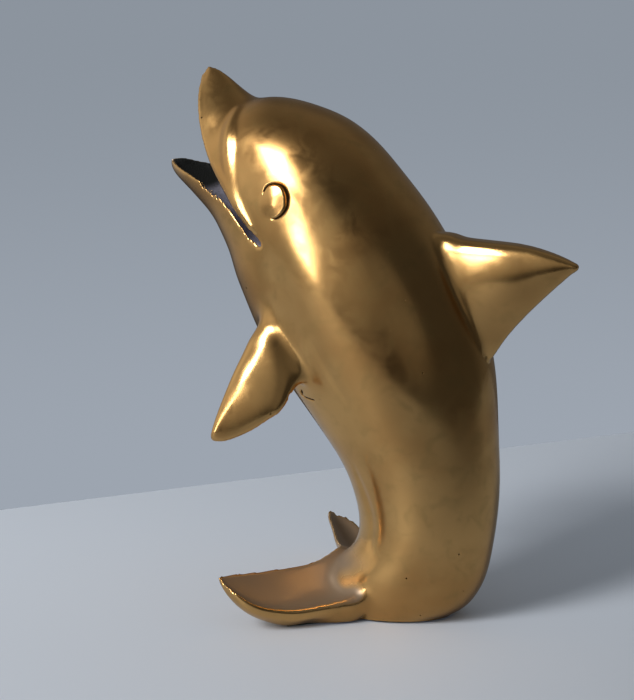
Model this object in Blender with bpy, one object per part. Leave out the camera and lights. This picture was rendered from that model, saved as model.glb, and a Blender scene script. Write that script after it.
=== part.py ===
"""Hollow-cast brass dolphin figurine that stands on its tail flukes.

The dolphin faces -X, its left side faces -Y and its back faces +X. All sizes are in metres.
The trunk, with the head, is one lofted form. It is cut into two half castings that meet on the
plane y = 0, and a lower jaw. The fins and the flukes are castings of their own, whose tenons
enter sockets in the trunk's wall.
"""

import math
from typing import NamedTuple

import bmesh
import bpy
from mathutils import Matrix, Vector

# Fits and walls
CLEARANCE = 0.0003
WALL = 0.0032

# Foot
FELT_THICKNESS = 0.0009
FELT_INSET = 0.0025
LEAST_FELT_WIDTH = 0.0025
BASE_PLATE_THICKNESS = 0.0025

# Dowels across the joint of the two half castings, each in a boss on the inner wall
DOWEL_RADIUS = 0.0020
DOWEL_HALF_LENGTH = 0.0070
BOSS_RADIUS = 0.0050
BOSS_HALF_LENGTH = 0.0100
BOSS_SINK = 0.0015

# Dowels between the throat and the lower jaw
JAW_DOWEL_RADIUS = 0.0016
JAW_DOWEL_HALF_LENGTH = 0.0060
JAW_DOWEL_OFFSET = 0.0090
JAW_DOWEL_SHARE = 0.52

# Tenons of the fins and flukes
TENON_ENTRY = 0.0020
DORSAL_TENON_LENGTH = 0.0300
DORSAL_TENON_THICKNESS = 0.0050
DORSAL_TENON_REACH = 0.0090
PECTORAL_TENON_RADIUS = 0.0045
PECTORAL_TENON_REACH = 0.0120
FLUKE_TENON_WIDTH = 0.0090
FLUKE_TENON_HEIGHT = 0.0036
FLUKE_TENON_REACH = 0.0080

# Mouth
LIP_THICKNESS = 0.0022

# Fineness of the lofts
TRUNK_POINTS = 24
TRUNK_STEPS = 2
BLADE_POINTS = 16
BLADE_STEPS = 2
MOUTH_STEPS = 2
SOLE_CHECKS = 60
ROUND_SEGMENTS = 16

# How far out the palate's rounding starts and how high it is there, as shares of its size
PALATE_ROUNDING = [(1.00, 0.00), (0.85, 0.60), (0.50, 0.95), (0.00, 1.00)]

# Where a fin's section is thickest, as a share of the way from its leading edge
THICKEST = 0.36

# The way that each fin grows from the trunk, with the distance from the middle plane second
DORSAL_SWEEP = (1.0, 0.0, 0.0)
PECTORAL_SWEEP = (-0.4, 0.5, -0.8)

# Linear colours of the metals and the felt
CAST_BRASS_COLOUR = (0.76, 0.55, 0.27)
ROLLED_BRASS_COLOUR = (0.74, 0.56, 0.30)
FELT_COLOUR = (0.02, 0.05, 0.03)

# How metallic and how rough the finishes are, from 0 to 1
METAL = 1.0
CLOTH = 0.0
POLISHED_ROUGHNESS = 0.22
ROLLED_ROUGHNESS = 0.35
FELT_ROUGHNESS = 0.95
SMOOTH_ANGLE = math.radians(40)

LEFT = -1
RIGHT = 1
SIDE_NAMES = {LEFT: "left", RIGHT: "right"}

# The castings stand this far above the table, on the felt
FOOT = FELT_THICKNESS + CLEARANCE

# Larger than the whole figurine
FAR = 0.4000


class TrunkStation(NamedTuple):
    """One cross-section of the trunk, in the plane that holds both of its x, z points."""

    belly: tuple[float, float]
    back: tuple[float, float]
    half_width: float
    widest: float
    throat: float


class BladeStation(NamedTuple):
    """One cross-section of a fin: edges as x, distance from the middle plane, z."""

    lead: tuple[float, float, float]
    trail: tuple[float, float, float]
    thickness: float


class FlukeStation(NamedTuple):
    """One cross-section of a fluke, with the depth of its dish and of its sole."""

    lead: tuple[float, float, float]
    trail: tuple[float, float, float]
    thickness: float
    dish: float
    sole: float


class MouthStation(NamedTuple):
    """One cross-section of the mouth, from the throat to beyond the beak.

    The overrun is how far the cut goes on through the lips.
    """

    upper_lip: tuple[float, float]
    lower_lip: tuple[float, float]
    half_width: float
    palate: float
    scoop: float
    overrun: float


# From the foot to the tips of the beak and the jaw. The last value thickens the throat's wall.
TRUNK = [
    TrunkStation((-0.0240, FOOT), (0.0420, FOOT), 0.0270, 0.40, 0.0000),
    TrunkStation((-0.0255, 0.0110), (0.0512, 0.0080), 0.0290, 0.42, 0.0000),
    TrunkStation((-0.0235, 0.0215), (0.0590, 0.0215), 0.0300, 0.45, 0.0000),
    TrunkStation((-0.0136, 0.0320), (0.0627, 0.0380), 0.0300, 0.48, 0.0000),
    TrunkStation((-0.0080, 0.0450), (0.0650, 0.0560), 0.0305, 0.50, 0.0000),
    TrunkStation((-0.0102, 0.0610), (0.0657, 0.0760), 0.0320, 0.50, 0.0000),
    TrunkStation((-0.0165, 0.0770), (0.0645, 0.0960), 0.0350, 0.50, 0.0000),
    TrunkStation((-0.0263, 0.0915), (0.0632, 0.1165), 0.0385, 0.50, 0.0000),
    TrunkStation((-0.0370, 0.1050), (0.0605, 0.1375), 0.0415, 0.50, 0.0000),
    TrunkStation((-0.0478, 0.1185), (0.0545, 0.1585), 0.0435, 0.50, 0.0000),
    TrunkStation((-0.0578, 0.1330), (0.0455, 0.1790), 0.0445, 0.50, 0.0000),
    TrunkStation((-0.0660, 0.1475), (0.0345, 0.1980), 0.0445, 0.50, 0.0060),
    TrunkStation((-0.0720, 0.1603), (0.0228, 0.2145), 0.0435, 0.50, 0.0240),
    TrunkStation((-0.0768, 0.1713), (0.0100, 0.2293), 0.0420, 0.50, 0.0390),
    TrunkStation((-0.0803, 0.1818), (-0.0038, 0.2437), 0.0400, 0.50, 0.0410),
    TrunkStation((-0.0846, 0.1908), (-0.0190, 0.2546), 0.0375, 0.50, 0.0390),
    TrunkStation((-0.0890, 0.1983), (-0.0345, 0.2606), 0.0345, 0.50, 0.0390),
    TrunkStation((-0.0942, 0.2043), (-0.0495, 0.2640), 0.0310, 0.50, 0.0390),
    TrunkStation((-0.0998, 0.2093), (-0.0619, 0.2645), 0.0275, 0.50, 0.0000),
    TrunkStation((-0.1048, 0.2136), (-0.0709, 0.2640), 0.0245, 0.50, 0.0000),
    TrunkStation((-0.1096, 0.2173), (-0.0786, 0.2684), 0.0215, 0.50, 0.0000),
    TrunkStation((-0.1142, 0.2208), (-0.0861, 0.2745), 0.0175, 0.50, 0.0000),
    TrunkStation((-0.1178, 0.2250), (-0.0930, 0.2783), 0.0120, 0.50, 0.0000),
    TrunkStation((-0.1190, 0.2290), (-0.0976, 0.2788), 0.0040, 0.50, 0.0000),
]

# The hollow ends in the forehead, at this place along the trunk
HOLLOW_END = 16

# Each dowel's place along the trunk, and whether it lies at the back or at the belly
SHELL_DOWELS = {
    "crown_dowel": (15.0, "back"),
    "back_dowel": (6.5, "back"),
    "chest_dowel": (9.0, "belly"),
    "stock_dowel": (4.0, "belly"),
}

DORSAL_ROOT_PLACE = 9.6
DORSAL_FIN = [
    BladeStation((0.0220, 0, 0.2000), (0.0480, 0, 0.1260), 0.0250),
    BladeStation((0.0370, 0, 0.2010), (0.0600, 0, 0.1360), 0.0200),
    BladeStation((0.0450, 0, 0.1990), (0.0665, 0, 0.1460), 0.0155),
    BladeStation((0.0560, 0, 0.1982), (0.0730, 0, 0.1548), 0.0125),
    BladeStation((0.0680, 0, 0.1978), (0.0798, 0, 0.1625), 0.0105),
    BladeStation((0.0800, 0, 0.1968), (0.0873, 0, 0.1702), 0.0090),
    BladeStation((0.0920, 0, 0.1943), (0.0953, 0, 0.1780), 0.0072),
    BladeStation((0.1012, 0, 0.1914), (0.1020, 0, 0.1835), 0.0050),
    BladeStation((0.1066, 0, 0.1890), (0.1064, 0, 0.1872), 0.0024),
]

PECTORAL_ROOT_PLACE = 9.8
PECTORAL_ROOT_TURN = 2.24
PECTORAL_FIN = [
    BladeStation((-0.0400, 0.0200, 0.1650), (-0.0140, 0.0280, 0.1280), 0.0150),
    BladeStation((-0.0500, 0.0310, 0.1540), (-0.0245, 0.0410, 0.1200), 0.0150),
    BladeStation((-0.0558, 0.0390, 0.1410), (-0.0310, 0.0465, 0.1132), 0.0140),
    BladeStation((-0.0595, 0.0450, 0.1295), (-0.0390, 0.0510, 0.1072), 0.0122),
    BladeStation((-0.0625, 0.0500, 0.1190), (-0.0470, 0.0540, 0.1018), 0.0100),
    BladeStation((-0.0650, 0.0545, 0.1090), (-0.0560, 0.0570, 0.0975), 0.0074),
    BladeStation((-0.0664, 0.0578, 0.1010), (-0.0620, 0.0585, 0.0960), 0.0042),
    BladeStation((-0.0664, 0.0588, 0.0975), (-0.0652, 0.0590, 0.0962), 0.0016),
]

FLUKE_ROOT_PLACE = 0.60
FLUKE_ROOT_TURN = 2.15
FLUKE = [
    FlukeStation((0.0200, 0.0060, 0.0190), (-0.0225, 0.0002, 0.0200), 0.0080, 0.0020, 0.0120),
    FlukeStation((0.0120, 0.0240, 0.0190), (-0.0262, 0.0100, 0.0252), 0.0075, 0.0040, 0.0130),
    FlukeStation((0.0030, 0.0350, 0.0155), (-0.0320, 0.0200, 0.0250), 0.0060, 0.0070, 0.0120),
    FlukeStation((-0.0090, 0.0460, 0.0112), (-0.0390, 0.0310, 0.0252), 0.0046, 0.0080, 0.0070),
    FlukeStation((-0.0195, 0.0555, 0.0098), (-0.0453, 0.0420, 0.0260), 0.0042, 0.0080, 0.0052),
    FlukeStation((-0.0295, 0.0640, 0.0122), (-0.0510, 0.0515, 0.0269), 0.0046, 0.0070, 0.0030),
    FlukeStation((-0.0385, 0.0705, 0.0170), (-0.0556, 0.0590, 0.0276), 0.0052, 0.0050, 0.0010),
    FlukeStation((-0.0475, 0.0725, 0.0230), (-0.0582, 0.0645, 0.0280), 0.0046, 0.0030, 0.0000),
    FlukeStation((-0.0550, 0.0695, 0.0262), (-0.0592, 0.0675, 0.0281), 0.0030, 0.0000, 0.0000),
]

# The first station is the cavity's blind end, the second the mouth's corner
MOUTH = [
    MouthStation((-0.0440, 0.1925), (-0.0450, 0.1900), 0.0180, 0.0010, 0.0010, 0.0),
    MouthStation((-0.0510, 0.1980), (-0.0512, 0.1950), 0.0390, 0.0030, 0.0030, 0.0100),
    MouthStation((-0.0603, 0.2082), (-0.0614, 0.2030), 0.0358, 0.0060, 0.0060, 0.0100),
    MouthStation((-0.0706, 0.2185), (-0.0710, 0.2117), 0.0325, 0.0080, 0.0075, 0.0100),
    MouthStation((-0.0797, 0.2297), (-0.0822, 0.2192), 0.0288, 0.0090, 0.0080, 0.0100),
    MouthStation((-0.0872, 0.2420), (-0.0920, 0.2230), 0.0238, 0.0085, 0.0075, 0.0100),
    MouthStation((-0.0933, 0.2550), (-0.1020, 0.2258), 0.0178, 0.0070, 0.0055, 0.0100),
    MouthStation((-0.0975, 0.2665), (-0.1110, 0.2282), 0.0108, 0.0040, 0.0025, 0.0100),
    MouthStation((-0.0990, 0.2760), (-0.1175, 0.2303), 0.0040, 0.0010, 0.0008, 0.0100),
    MouthStation((-0.1010, 0.2900), (-0.1300, 0.2330), 0.0040, 0.0010, 0.0008, 0.0100),
]

# The jaw meets the throat on a plane from the mouth's corner to this x, z point outside
JAW_JOINT_OUTSIDE = (-0.0890, 0.1765)


def blend(stations, place):
    """Give the section at a place between stations, on a smooth curve through all of them."""
    last = len(stations) - 1
    index = min(int(place), last - 1)
    share = place - index
    near = [stations[max(0, min(last, index + step))] for step in (-1, 0, 1, 2)]

    def smooth(values):
        before, start, end, after = values
        return 0.5 * (2 * start + (end - before) * share
                      + (2 * before - 5 * start + 4 * end - after) * share ** 2
                      + (3 * start - before - 3 * end + after) * share ** 3)

    fields = []
    for parts in zip(*near):
        if isinstance(parts[0], tuple):
            fields.append(tuple(smooth(values) for values in zip(*parts)))
        else:
            fields.append(smooth(parts))
    return type(stations[0])(*fields)


def sections(stations, steps):
    """List the sections along the stations, so many steps from each station to the next."""
    count = (len(stations) - 1) * steps
    return [blend(stations, number / steps) for number in range(count + 1)]


def upright(point):
    """Turn an x, z point of the middle plane into a vector."""
    return Vector((point[0], 0, point[1]))


def grow_section(section, amount, throat=0.0):
    """Move a trunk section's outline outwards, and its belly line inwards by the throat."""
    depth = upright(section.back) - upright(section.belly)
    along = depth.normalized()
    belly = upright(section.belly) - along * (amount - throat)
    back = upright(section.back) + along * amount
    narrowing = math.sqrt(1 - throat / depth.length)
    return section._replace(belly=(belly.x, belly.z), back=(back.x, back.z),
                            half_width=section.half_width * narrowing + amount)


def trunk_point(section, turn):
    """Give a point on a trunk section. Turn 0 is the back, and a quarter turn the left side."""
    belly = upright(section.belly)
    depth = upright(section.back) - belly
    behind = depth * (1 - section.widest)
    before = depth * section.widest
    reach = behind if math.cos(turn) >= 0 else before
    point = belly + before + reach * math.cos(turn)
    point.y = -section.half_width * math.sin(turn)
    return point


def trunk_ring(section):
    return [trunk_point(section, math.tau * k / TRUNK_POINTS) for k in range(TRUNK_POINTS)]


def bump(share):
    """Rise from 0 to 1 at a fin's thickest place and fall back to 0 at its trailing edge."""
    warped = share ** (math.log(0.5) / math.log(THICKEST))
    return math.sqrt(4 * warped * (1 - warped))


def blade_ring(section, side, sweep):
    """Give a fin section's outline, square to the way that the fin grows."""
    lead = Vector((section.lead[0], section.lead[1] * side, section.lead[2]))
    trail = Vector((section.trail[0], section.trail[1] * side, section.trail[2]))
    normal = (trail - lead).cross(sweep).normalized()
    ring = []
    for k in range(BLADE_POINTS):
        turn = math.tau * k / BLADE_POINTS
        share = (1 - math.cos(turn)) / 2
        offset = math.copysign(bump(share), math.sin(turn)) * section.thickness / 2
        ring.append(lead.lerp(trail, share) + normal * offset)
    return ring


def fluke_point(section, share):
    """Give a point of the straight line from a fluke section's leading edge to its trailing."""
    return Vector(section.lead).lerp(Vector(section.trail), share)


def fluke_underside(section, share):
    """Give the height that a fluke's sole would reach if the table didn't flatten it."""
    arch = 4 * share * (1 - share)
    sunk = section.dish * arch + section.thickness * math.sqrt(arch) + section.sole * arch ** 1.5
    return fluke_point(section, share).z - sunk


def fluke_ring(section, side):
    """Give a fluke section's outline: a dish above, and a sole that is flat on the foot."""
    ring = []
    for k in range(BLADE_POINTS):
        turn = math.tau * k / BLADE_POINTS
        share = (1 - math.cos(turn)) / 2
        point = fluke_point(section, share)
        if math.sin(turn) < 0:
            point.z = max(fluke_underside(section, share), FOOT)
        else:
            point.z -= section.dish * 4 * share * (1 - share)
        point.y *= side
        ring.append(point)
    return ring


def sole_outline(side):
    """Give the outline of a fluke's flat sole, drawn in by the felt's inset."""
    front, rear = [], []
    for section in sections(FLUKE, BLADE_STEPS):
        shares = [k / SOLE_CHECKS for k in range(SOLE_CHECKS + 1)]
        flat = [share for share in shares if fluke_underside(section, share) <= FOOT]
        width = (fluke_point(section, 1) - fluke_point(section, 0)).length
        inset = FELT_INSET / width
        if flat and (flat[-1] - flat[0] - 2 * inset) * width > LEAST_FELT_WIDTH:
            for line, share in ((front, flat[0] + inset), (rear, flat[-1] - inset)):
                point = fluke_point(section, share)
                line.append((point.x, side * point.y))
    return front + rear[::-1]


def mouth_ring(section):
    """Give a mouth section's outline: over the palate and back along the scoop of the jaw."""
    upper = upright(section.upper_lip)
    lower = upright(section.lower_lip)
    rise = (upper - lower).normalized()
    inner = max(section.half_width - LIP_THICKNESS, section.half_width / 2)
    half = [(section.half_width + section.overrun, 0.0)]
    half += [(inner * out, height) for out, height in PALATE_ROUNDING]
    profile = half + [(-across, height) for across, height in reversed(half[:-1])]
    over = [upper + rise * section.palate * height + Vector((0, across, 0))
            for across, height in profile]
    under = [lower - rise * section.scoop * height + Vector((0, across, 0))
             for across, height in reversed(profile)]
    return over + under


def new_object(name, mesh):
    data = bpy.data.meshes.new(name)
    mesh.to_mesh(data)
    mesh.free()
    piece = bpy.data.objects.new(name, data)
    bpy.context.scene.collection.objects.link(piece)
    return piece


def loft(name, rings):
    """Extrude a capped ring through all the others and give the closed solid."""
    mesh = bmesh.new()
    ring = bmesh.ops.create_circle(mesh, cap_ends=True, radius=1, segments=len(rings[0]))["verts"]
    for vertex, point in zip(ring, rings[0]):
        vertex.co = point
    edges = list(mesh.edges)
    for points in rings[1:]:
        grown = bmesh.ops.extrude_edge_only(mesh, edges=edges)["geom"]
        fresh = {item for item in grown if isinstance(item, bmesh.types.BMVert)}
        edges = [item for item in grown if isinstance(item, bmesh.types.BMEdge)
                 and all(vertex in fresh for vertex in item.verts)]
        ring = [next(edge.other_vert(vertex) for edge in vertex.link_edges
                     if edge.other_vert(vertex) in fresh) for vertex in ring]
        for vertex, point in zip(ring, points):
            vertex.co = point
    bmesh.ops.contextual_create(mesh, geom=edges)
    bmesh.ops.recalc_face_normals(mesh, faces=mesh.faces)
    return new_object(name, mesh)


def prism(name, outline, thickness, normal_axis):
    """Extrude a flat outline to both sides of the middle plane (Y) or upwards (Z)."""
    mesh = bmesh.new()
    if normal_axis == "Y":
        points = [Vector((x, -thickness / 2, z)) for x, z in outline]
        way = Vector((0, thickness, 0))
    else:
        points = [Vector((x, y, 0)) for x, y in outline]
        way = Vector((0, 0, thickness))
    ring = bmesh.ops.create_circle(mesh, cap_ends=True, radius=1, segments=len(points))["verts"]
    for vertex, point in zip(ring, points):
        vertex.co = point
    walls = bmesh.ops.extrude_face_region(mesh, geom=list(mesh.faces), use_keep_orig=True)["geom"]
    moved = [item for item in walls if isinstance(item, bmesh.types.BMVert)]
    bmesh.ops.translate(mesh, verts=moved, vec=way)
    bmesh.ops.recalc_face_normals(mesh, faces=mesh.faces)
    return new_object(name, mesh)


def peg(name, start, end, radius):
    """Make a round bar from one point to another."""
    mesh = bmesh.new()
    length = (end - start).length
    bmesh.ops.create_cone(mesh, cap_ends=True, segments=ROUND_SEGMENTS, radius1=radius,
                          radius2=radius, depth=length)
    piece = new_object(name, mesh)
    piece.location = (start + end) / 2
    piece.rotation_euler = (end - start).to_track_quat("Z", "Y").to_euler()
    return piece


def bar(name, centre, along, across, size):
    """Make a square-edged bar. Its size runs along, across and then square to both."""
    mesh = bmesh.new()
    bmesh.ops.create_cube(mesh, size=1, matrix=Matrix.Diagonal((*size, 1)))
    piece = new_object(name, mesh)
    third = along.cross(across).normalized()
    turn = Matrix((along.normalized(), across.normalized(), third)).transposed()
    piece.location = centre
    piece.rotation_euler = turn.to_euler()
    return piece


def as_cutter(piece):
    piece.hide_render = True
    piece.display_type = "WIRE"
    return piece


def combine(piece, operation, other):
    """Leave an exact Boolean on a piece, with another object as its second shape."""
    modifier = piece.modifiers.new(other.name, "BOOLEAN")
    modifier.operation = operation
    modifier.solver = "EXACT"
    modifier.object = other


def finish(piece, colour, metallic, roughness):
    """Give a piece a material of its own."""
    material = bpy.data.materials.new(piece.name)
    material.use_nodes = True
    shader = material.node_tree.nodes["Principled BSDF"]
    shader.inputs["Base Color"].default_value = (*colour, 1)
    shader.inputs["Metallic"].default_value = metallic
    shader.inputs["Roughness"].default_value = roughness
    piece.data.materials.clear()
    piece.data.materials.append(material)
    piece.data.shade_smooth()
    piece.data.set_sharp_from_angle(angle=SMOOTH_ANGLE)


def polished_brass(piece):
    finish(piece, CAST_BRASS_COLOUR, METAL, POLISHED_ROUGHNESS)


def rolled_brass(piece):
    finish(piece, ROLLED_BRASS_COLOUR, METAL, ROLLED_ROUGHNESS)


def dark_felt(piece):
    finish(piece, FELT_COLOUR, CLOTH, FELT_ROUGHNESS)


def half_space(side):
    """Make a block that holds one side of the figurine, up to half the joint's clearance."""
    near = side * CLEARANCE / 2
    centre = Vector((0, near + side * FAR / 2, 0))
    block = bar(SIDE_NAMES[side] + "_half_space", centre, Vector((1, 0, 0)), Vector((0, 1, 0)),
                (FAR * 2, FAR, FAR * 2))
    return as_cutter(block)


def make_hollow():
    """Make the space inside the trunk, open at the foot."""
    whole = sections(TRUNK[:HOLLOW_END + 1], TRUNK_STEPS)
    rings = [trunk_ring(grow_section(section, -WALL, section.throat)) for section in whole]
    below = [point - Vector((0, 0, FOOT)) for point in rings[0]]
    return as_cutter(loft("hollow", [below] + rings))


def make_grown_trunk():
    """Make the trunk as the fins see it, with their clearance around it."""
    rings = [trunk_ring(grow_section(section, CLEARANCE))
             for section in sections(TRUNK, TRUNK_STEPS)]
    below = [point - Vector((0, 0, FOOT)) for point in rings[0]]
    return as_cutter(loft("grown_trunk", [below] + rings))


def make_mouth():
    rings = [mouth_ring(section) for section in sections(MOUTH, MOUTH_STEPS)]
    return as_cutter(loft("mouth_space", rings))


def jaw_joint():
    """Give the jaw joint's inner end, its outer end, and its normal out of the throat."""
    corner = MOUTH[1]
    inner = (upright(corner.upper_lip) + upright(corner.lower_lip)) / 2
    outer = upright(JAW_JOINT_OUTSIDE)
    normal = (outer - inner).cross(Vector((0, 1, 0))).normalized()
    if normal.z < 0:
        normal = -normal
    return inner, outer, normal


def make_jaw_space(name, gap):
    """Make the block that parts the lower jaw, its joint face moved back by a gap."""
    inner, outer, normal = jaw_joint()
    below = outer - normal * gap
    start = inner - normal * gap
    middle = [(upright(station.upper_lip) + upright(station.lower_lip)) / 2
              for station in MOUTH[2:]]
    beyond = upright(MOUTH[-1].lower_lip)
    front = Vector((beyond.x, 0, below.z))
    points = [start, below, front, beyond] + list(reversed(middle))
    return as_cutter(prism(name, [(point.x, point.z) for point in points], FAR / 2, "Y"))


def dowel_centre(place, line):
    """Give a dowel's middle, in a boss that sinks a little into the trunk's wall."""
    section = blend(TRUNK, place)
    inwards = upright(section.belly) - upright(section.back)
    outer = upright(getattr(section, line))
    if line == "belly":
        inwards = -inwards
    return outer + inwards.normalized() * (WALL + BOSS_RADIUS - BOSS_SINK)


def make_shell_dowels():
    """Make the dowels, with their bosses and their holes as cutters."""
    dowels, bosses, holes = [], [], []
    for name, (place, line) in SHELL_DOWELS.items():
        centre = dowel_centre(place, line)
        for store, radius, reach, label in (
                (dowels, DOWEL_RADIUS, DOWEL_HALF_LENGTH, ""),
                (bosses, BOSS_RADIUS, BOSS_HALF_LENGTH, "_boss"),
                (holes, DOWEL_RADIUS + CLEARANCE, DOWEL_HALF_LENGTH + CLEARANCE, "_hole")):
            way = Vector((0, reach, 0))
            store.append(peg(name + label, centre - way, centre + way, radius))
    for piece in dowels:
        rolled_brass(piece)
    for piece in bosses + holes:
        as_cutter(piece)
    return dowels, bosses, holes


def make_jaw_dowels():
    """Make the two dowels that cross the jaw's joint, and their holes as cutters."""
    inner, outer, normal = jaw_joint()
    middle = inner.lerp(outer, JAW_DOWEL_SHARE)
    dowels, holes = {}, {}
    for side in (LEFT, RIGHT):
        centre = middle + Vector((0, side * JAW_DOWEL_OFFSET, 0))
        name = SIDE_NAMES[side] + "_jaw_dowel"
        way = normal * JAW_DOWEL_HALF_LENGTH
        dowels[side] = peg(name, centre - way, centre + way, JAW_DOWEL_RADIUS)
        way = normal * (JAW_DOWEL_HALF_LENGTH + CLEARANCE)
        holes[side] = as_cutter(peg(name + "_hole", centre - way, centre + way,
                                    JAW_DOWEL_RADIUS + CLEARANCE))
        rolled_brass(dowels[side])
    return dowels, holes


def make_dorsal_tenon(name, gap):
    """Make the dorsal fin's tenon, or its socket where there is a gap."""
    root = upright(blend(TRUNK, DORSAL_ROOT_PLACE).back)
    heart = DORSAL_FIN[3]
    outwards = ((Vector(heart.lead) + Vector(heart.trail)) / 2 - root).normalized()
    entry = WALL + TENON_ENTRY
    centre = root + outwards * (DORSAL_TENON_REACH - entry) / 2
    size = (DORSAL_TENON_REACH + entry + 2 * gap, DORSAL_TENON_THICKNESS + 2 * gap,
            DORSAL_TENON_LENGTH + 2 * gap)
    return as_cutter(bar(name, centre, outwards, Vector((0, 1, 0)), size))


def make_pectoral_tenon(name, side, gap):
    """Make a pectoral fin's round tenon, or its socket where there is a gap."""
    root = trunk_point(blend(TRUNK, PECTORAL_ROOT_PLACE), PECTORAL_ROOT_TURN)
    heart = PECTORAL_FIN[3]
    outwards = (Vector(heart.lead) + Vector(heart.trail)) / 2
    outwards = Vector((outwards.x, -outwards.y, outwards.z)) - root
    outwards.normalize()
    ends = [root - outwards * (WALL + TENON_ENTRY + gap),
            root + outwards * (PECTORAL_TENON_REACH + gap)]
    for end in ends:
        end.y *= -side
    return as_cutter(peg(name, ends[0], ends[1], PECTORAL_TENON_RADIUS + gap))


def make_fluke_tenon(name, side, gap):
    """Make a fluke's flat tenon above the base plate, or its socket where there is a gap."""
    root = trunk_point(blend(TRUNK, FLUKE_ROOT_PLACE), FLUKE_ROOT_TURN)
    heart = FLUKE[3]
    outwards = (Vector(heart.lead) + Vector(heart.trail)) / 2
    outwards = Vector((outwards.x, -outwards.y, 0)) - Vector((root.x, root.y, 0))
    outwards.normalize()
    entry = WALL + TENON_ENTRY
    centre = root + outwards * (FLUKE_TENON_REACH - entry) / 2
    centre.z = FOOT + BASE_PLATE_THICKNESS + 2 * CLEARANCE + FLUKE_TENON_HEIGHT / 2
    for vector in (centre, outwards):
        vector.y *= -side
    across = outwards.cross(Vector((0, 0, 1)))
    size = (FLUKE_TENON_REACH + entry + 2 * gap, FLUKE_TENON_WIDTH + 2 * gap,
            FLUKE_TENON_HEIGHT + 2 * gap)
    return as_cutter(bar(name, centre, outwards, across, size))


def make_body_shell(side, trunk_mesh, shared, own):
    """Make one half casting: the trunk's wall with its bosses, sockets and dowel holes."""
    shell = bpy.data.objects.new(SIDE_NAMES[side] + "_body_shell", trunk_mesh.copy())
    bpy.context.scene.collection.objects.link(shell)
    combine(shell, "DIFFERENCE", shared["hollow"])
    for boss in shared["bosses"]:
        combine(shell, "UNION", boss)
    combine(shell, "INTERSECT", shared["halves"][side])
    combine(shell, "DIFFERENCE", shared["mouth"])
    combine(shell, "DIFFERENCE", shared["jaw_space"])
    for cutter in shared["holes"] + own:
        combine(shell, "DIFFERENCE", cutter)
    polished_brass(shell)
    return shell


def make_lower_jaw(trunk_mesh, mouth, holes):
    """Make the jaw casting: the trunk's form below the mouth and beyond the joint."""
    jaw = bpy.data.objects.new("lower_jaw", trunk_mesh.copy())
    bpy.context.scene.collection.objects.link(jaw)
    combine(jaw, "INTERSECT", make_jaw_space("jaw_part_space", 0.0))
    combine(jaw, "DIFFERENCE", mouth)
    for hole in holes:
        combine(jaw, "DIFFERENCE", hole)
    polished_brass(jaw)
    return jaw


def make_dorsal_fin(grown_trunk):
    rings = [blade_ring(section, RIGHT, Vector(DORSAL_SWEEP))
             for section in sections(DORSAL_FIN, BLADE_STEPS)]
    fin = loft("dorsal_fin", rings)
    combine(fin, "DIFFERENCE", grown_trunk)
    combine(fin, "UNION", make_dorsal_tenon("dorsal_tenon", 0.0))
    polished_brass(fin)
    return fin


def make_pectoral_fin(side, grown_trunk):
    """Make a pectoral fin, which points down, forwards and away from the belly."""
    forward, outward, upward = PECTORAL_SWEEP
    sweep = Vector((forward, side * outward, upward))
    rings = [blade_ring(section, side, sweep) for section in sections(PECTORAL_FIN, BLADE_STEPS)]
    name = SIDE_NAMES[side] + "_pectoral_fin"
    fin = loft(name, rings)
    combine(fin, "DIFFERENCE", grown_trunk)
    combine(fin, "UNION", make_pectoral_tenon(name + "_tenon", side, 0.0))
    polished_brass(fin)
    return fin


def make_fluke(side, grown_trunk, half):
    """Make a fluke, which is dished above and flat where it stands on the felt."""
    rings = [fluke_ring(section, side) for section in sections(FLUKE, BLADE_STEPS)]
    name = SIDE_NAMES[side] + "_fluke"
    fluke = loft(name, rings)
    combine(fluke, "DIFFERENCE", grown_trunk)
    combine(fluke, "INTERSECT", half)
    combine(fluke, "UNION", make_fluke_tenon(name + "_tenon", side, 0.0))
    polished_brass(fluke)
    return fluke


def make_base_plate():
    """Make the plate that fills the mouth of the hollow at the foot."""
    wall = WALL + CLEARANCE
    low = trunk_ring(grow_section(TRUNK[0], -wall))
    plate = loft("base_plate", [low, [point + Vector((0, 0, BASE_PLATE_THICKNESS))
                                      for point in low]])
    rolled_brass(plate)
    return plate


def make_felt_pad():
    """Make the pad under the foot, drawn in from the edges of the trunk and of the soles."""
    ring = trunk_ring(grow_section(TRUNK[0], -FELT_INSET))
    pad = prism("felt_pad", [(point.x, point.y) for point in ring], FELT_THICKNESS, "Z")
    for side in (LEFT, RIGHT):
        sole = prism(SIDE_NAMES[side] + "_sole_felt", sole_outline(side), FELT_THICKNESS, "Z")
        combine(pad, "UNION", as_cutter(sole))
    dark_felt(pad)
    return pad


def centre_on_origin(pieces):
    """Hang every object on one empty, so that the figurine's box is centred over the origin."""
    bpy.context.view_layer.update()
    depsgraph = bpy.context.evaluated_depsgraph_get()
    places = []
    for piece in pieces:
        evaluated = piece.evaluated_get(depsgraph)
        places += [(piece.matrix_world @ Vector(corner)).x for corner in evaluated.bound_box]
    figurine = bpy.data.objects.new("figurine", None)
    for item in list(bpy.context.scene.objects):
        item.parent = figurine
    bpy.context.scene.collection.objects.link(figurine)
    figurine.location.x = -(min(places) + max(places)) / 2


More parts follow.
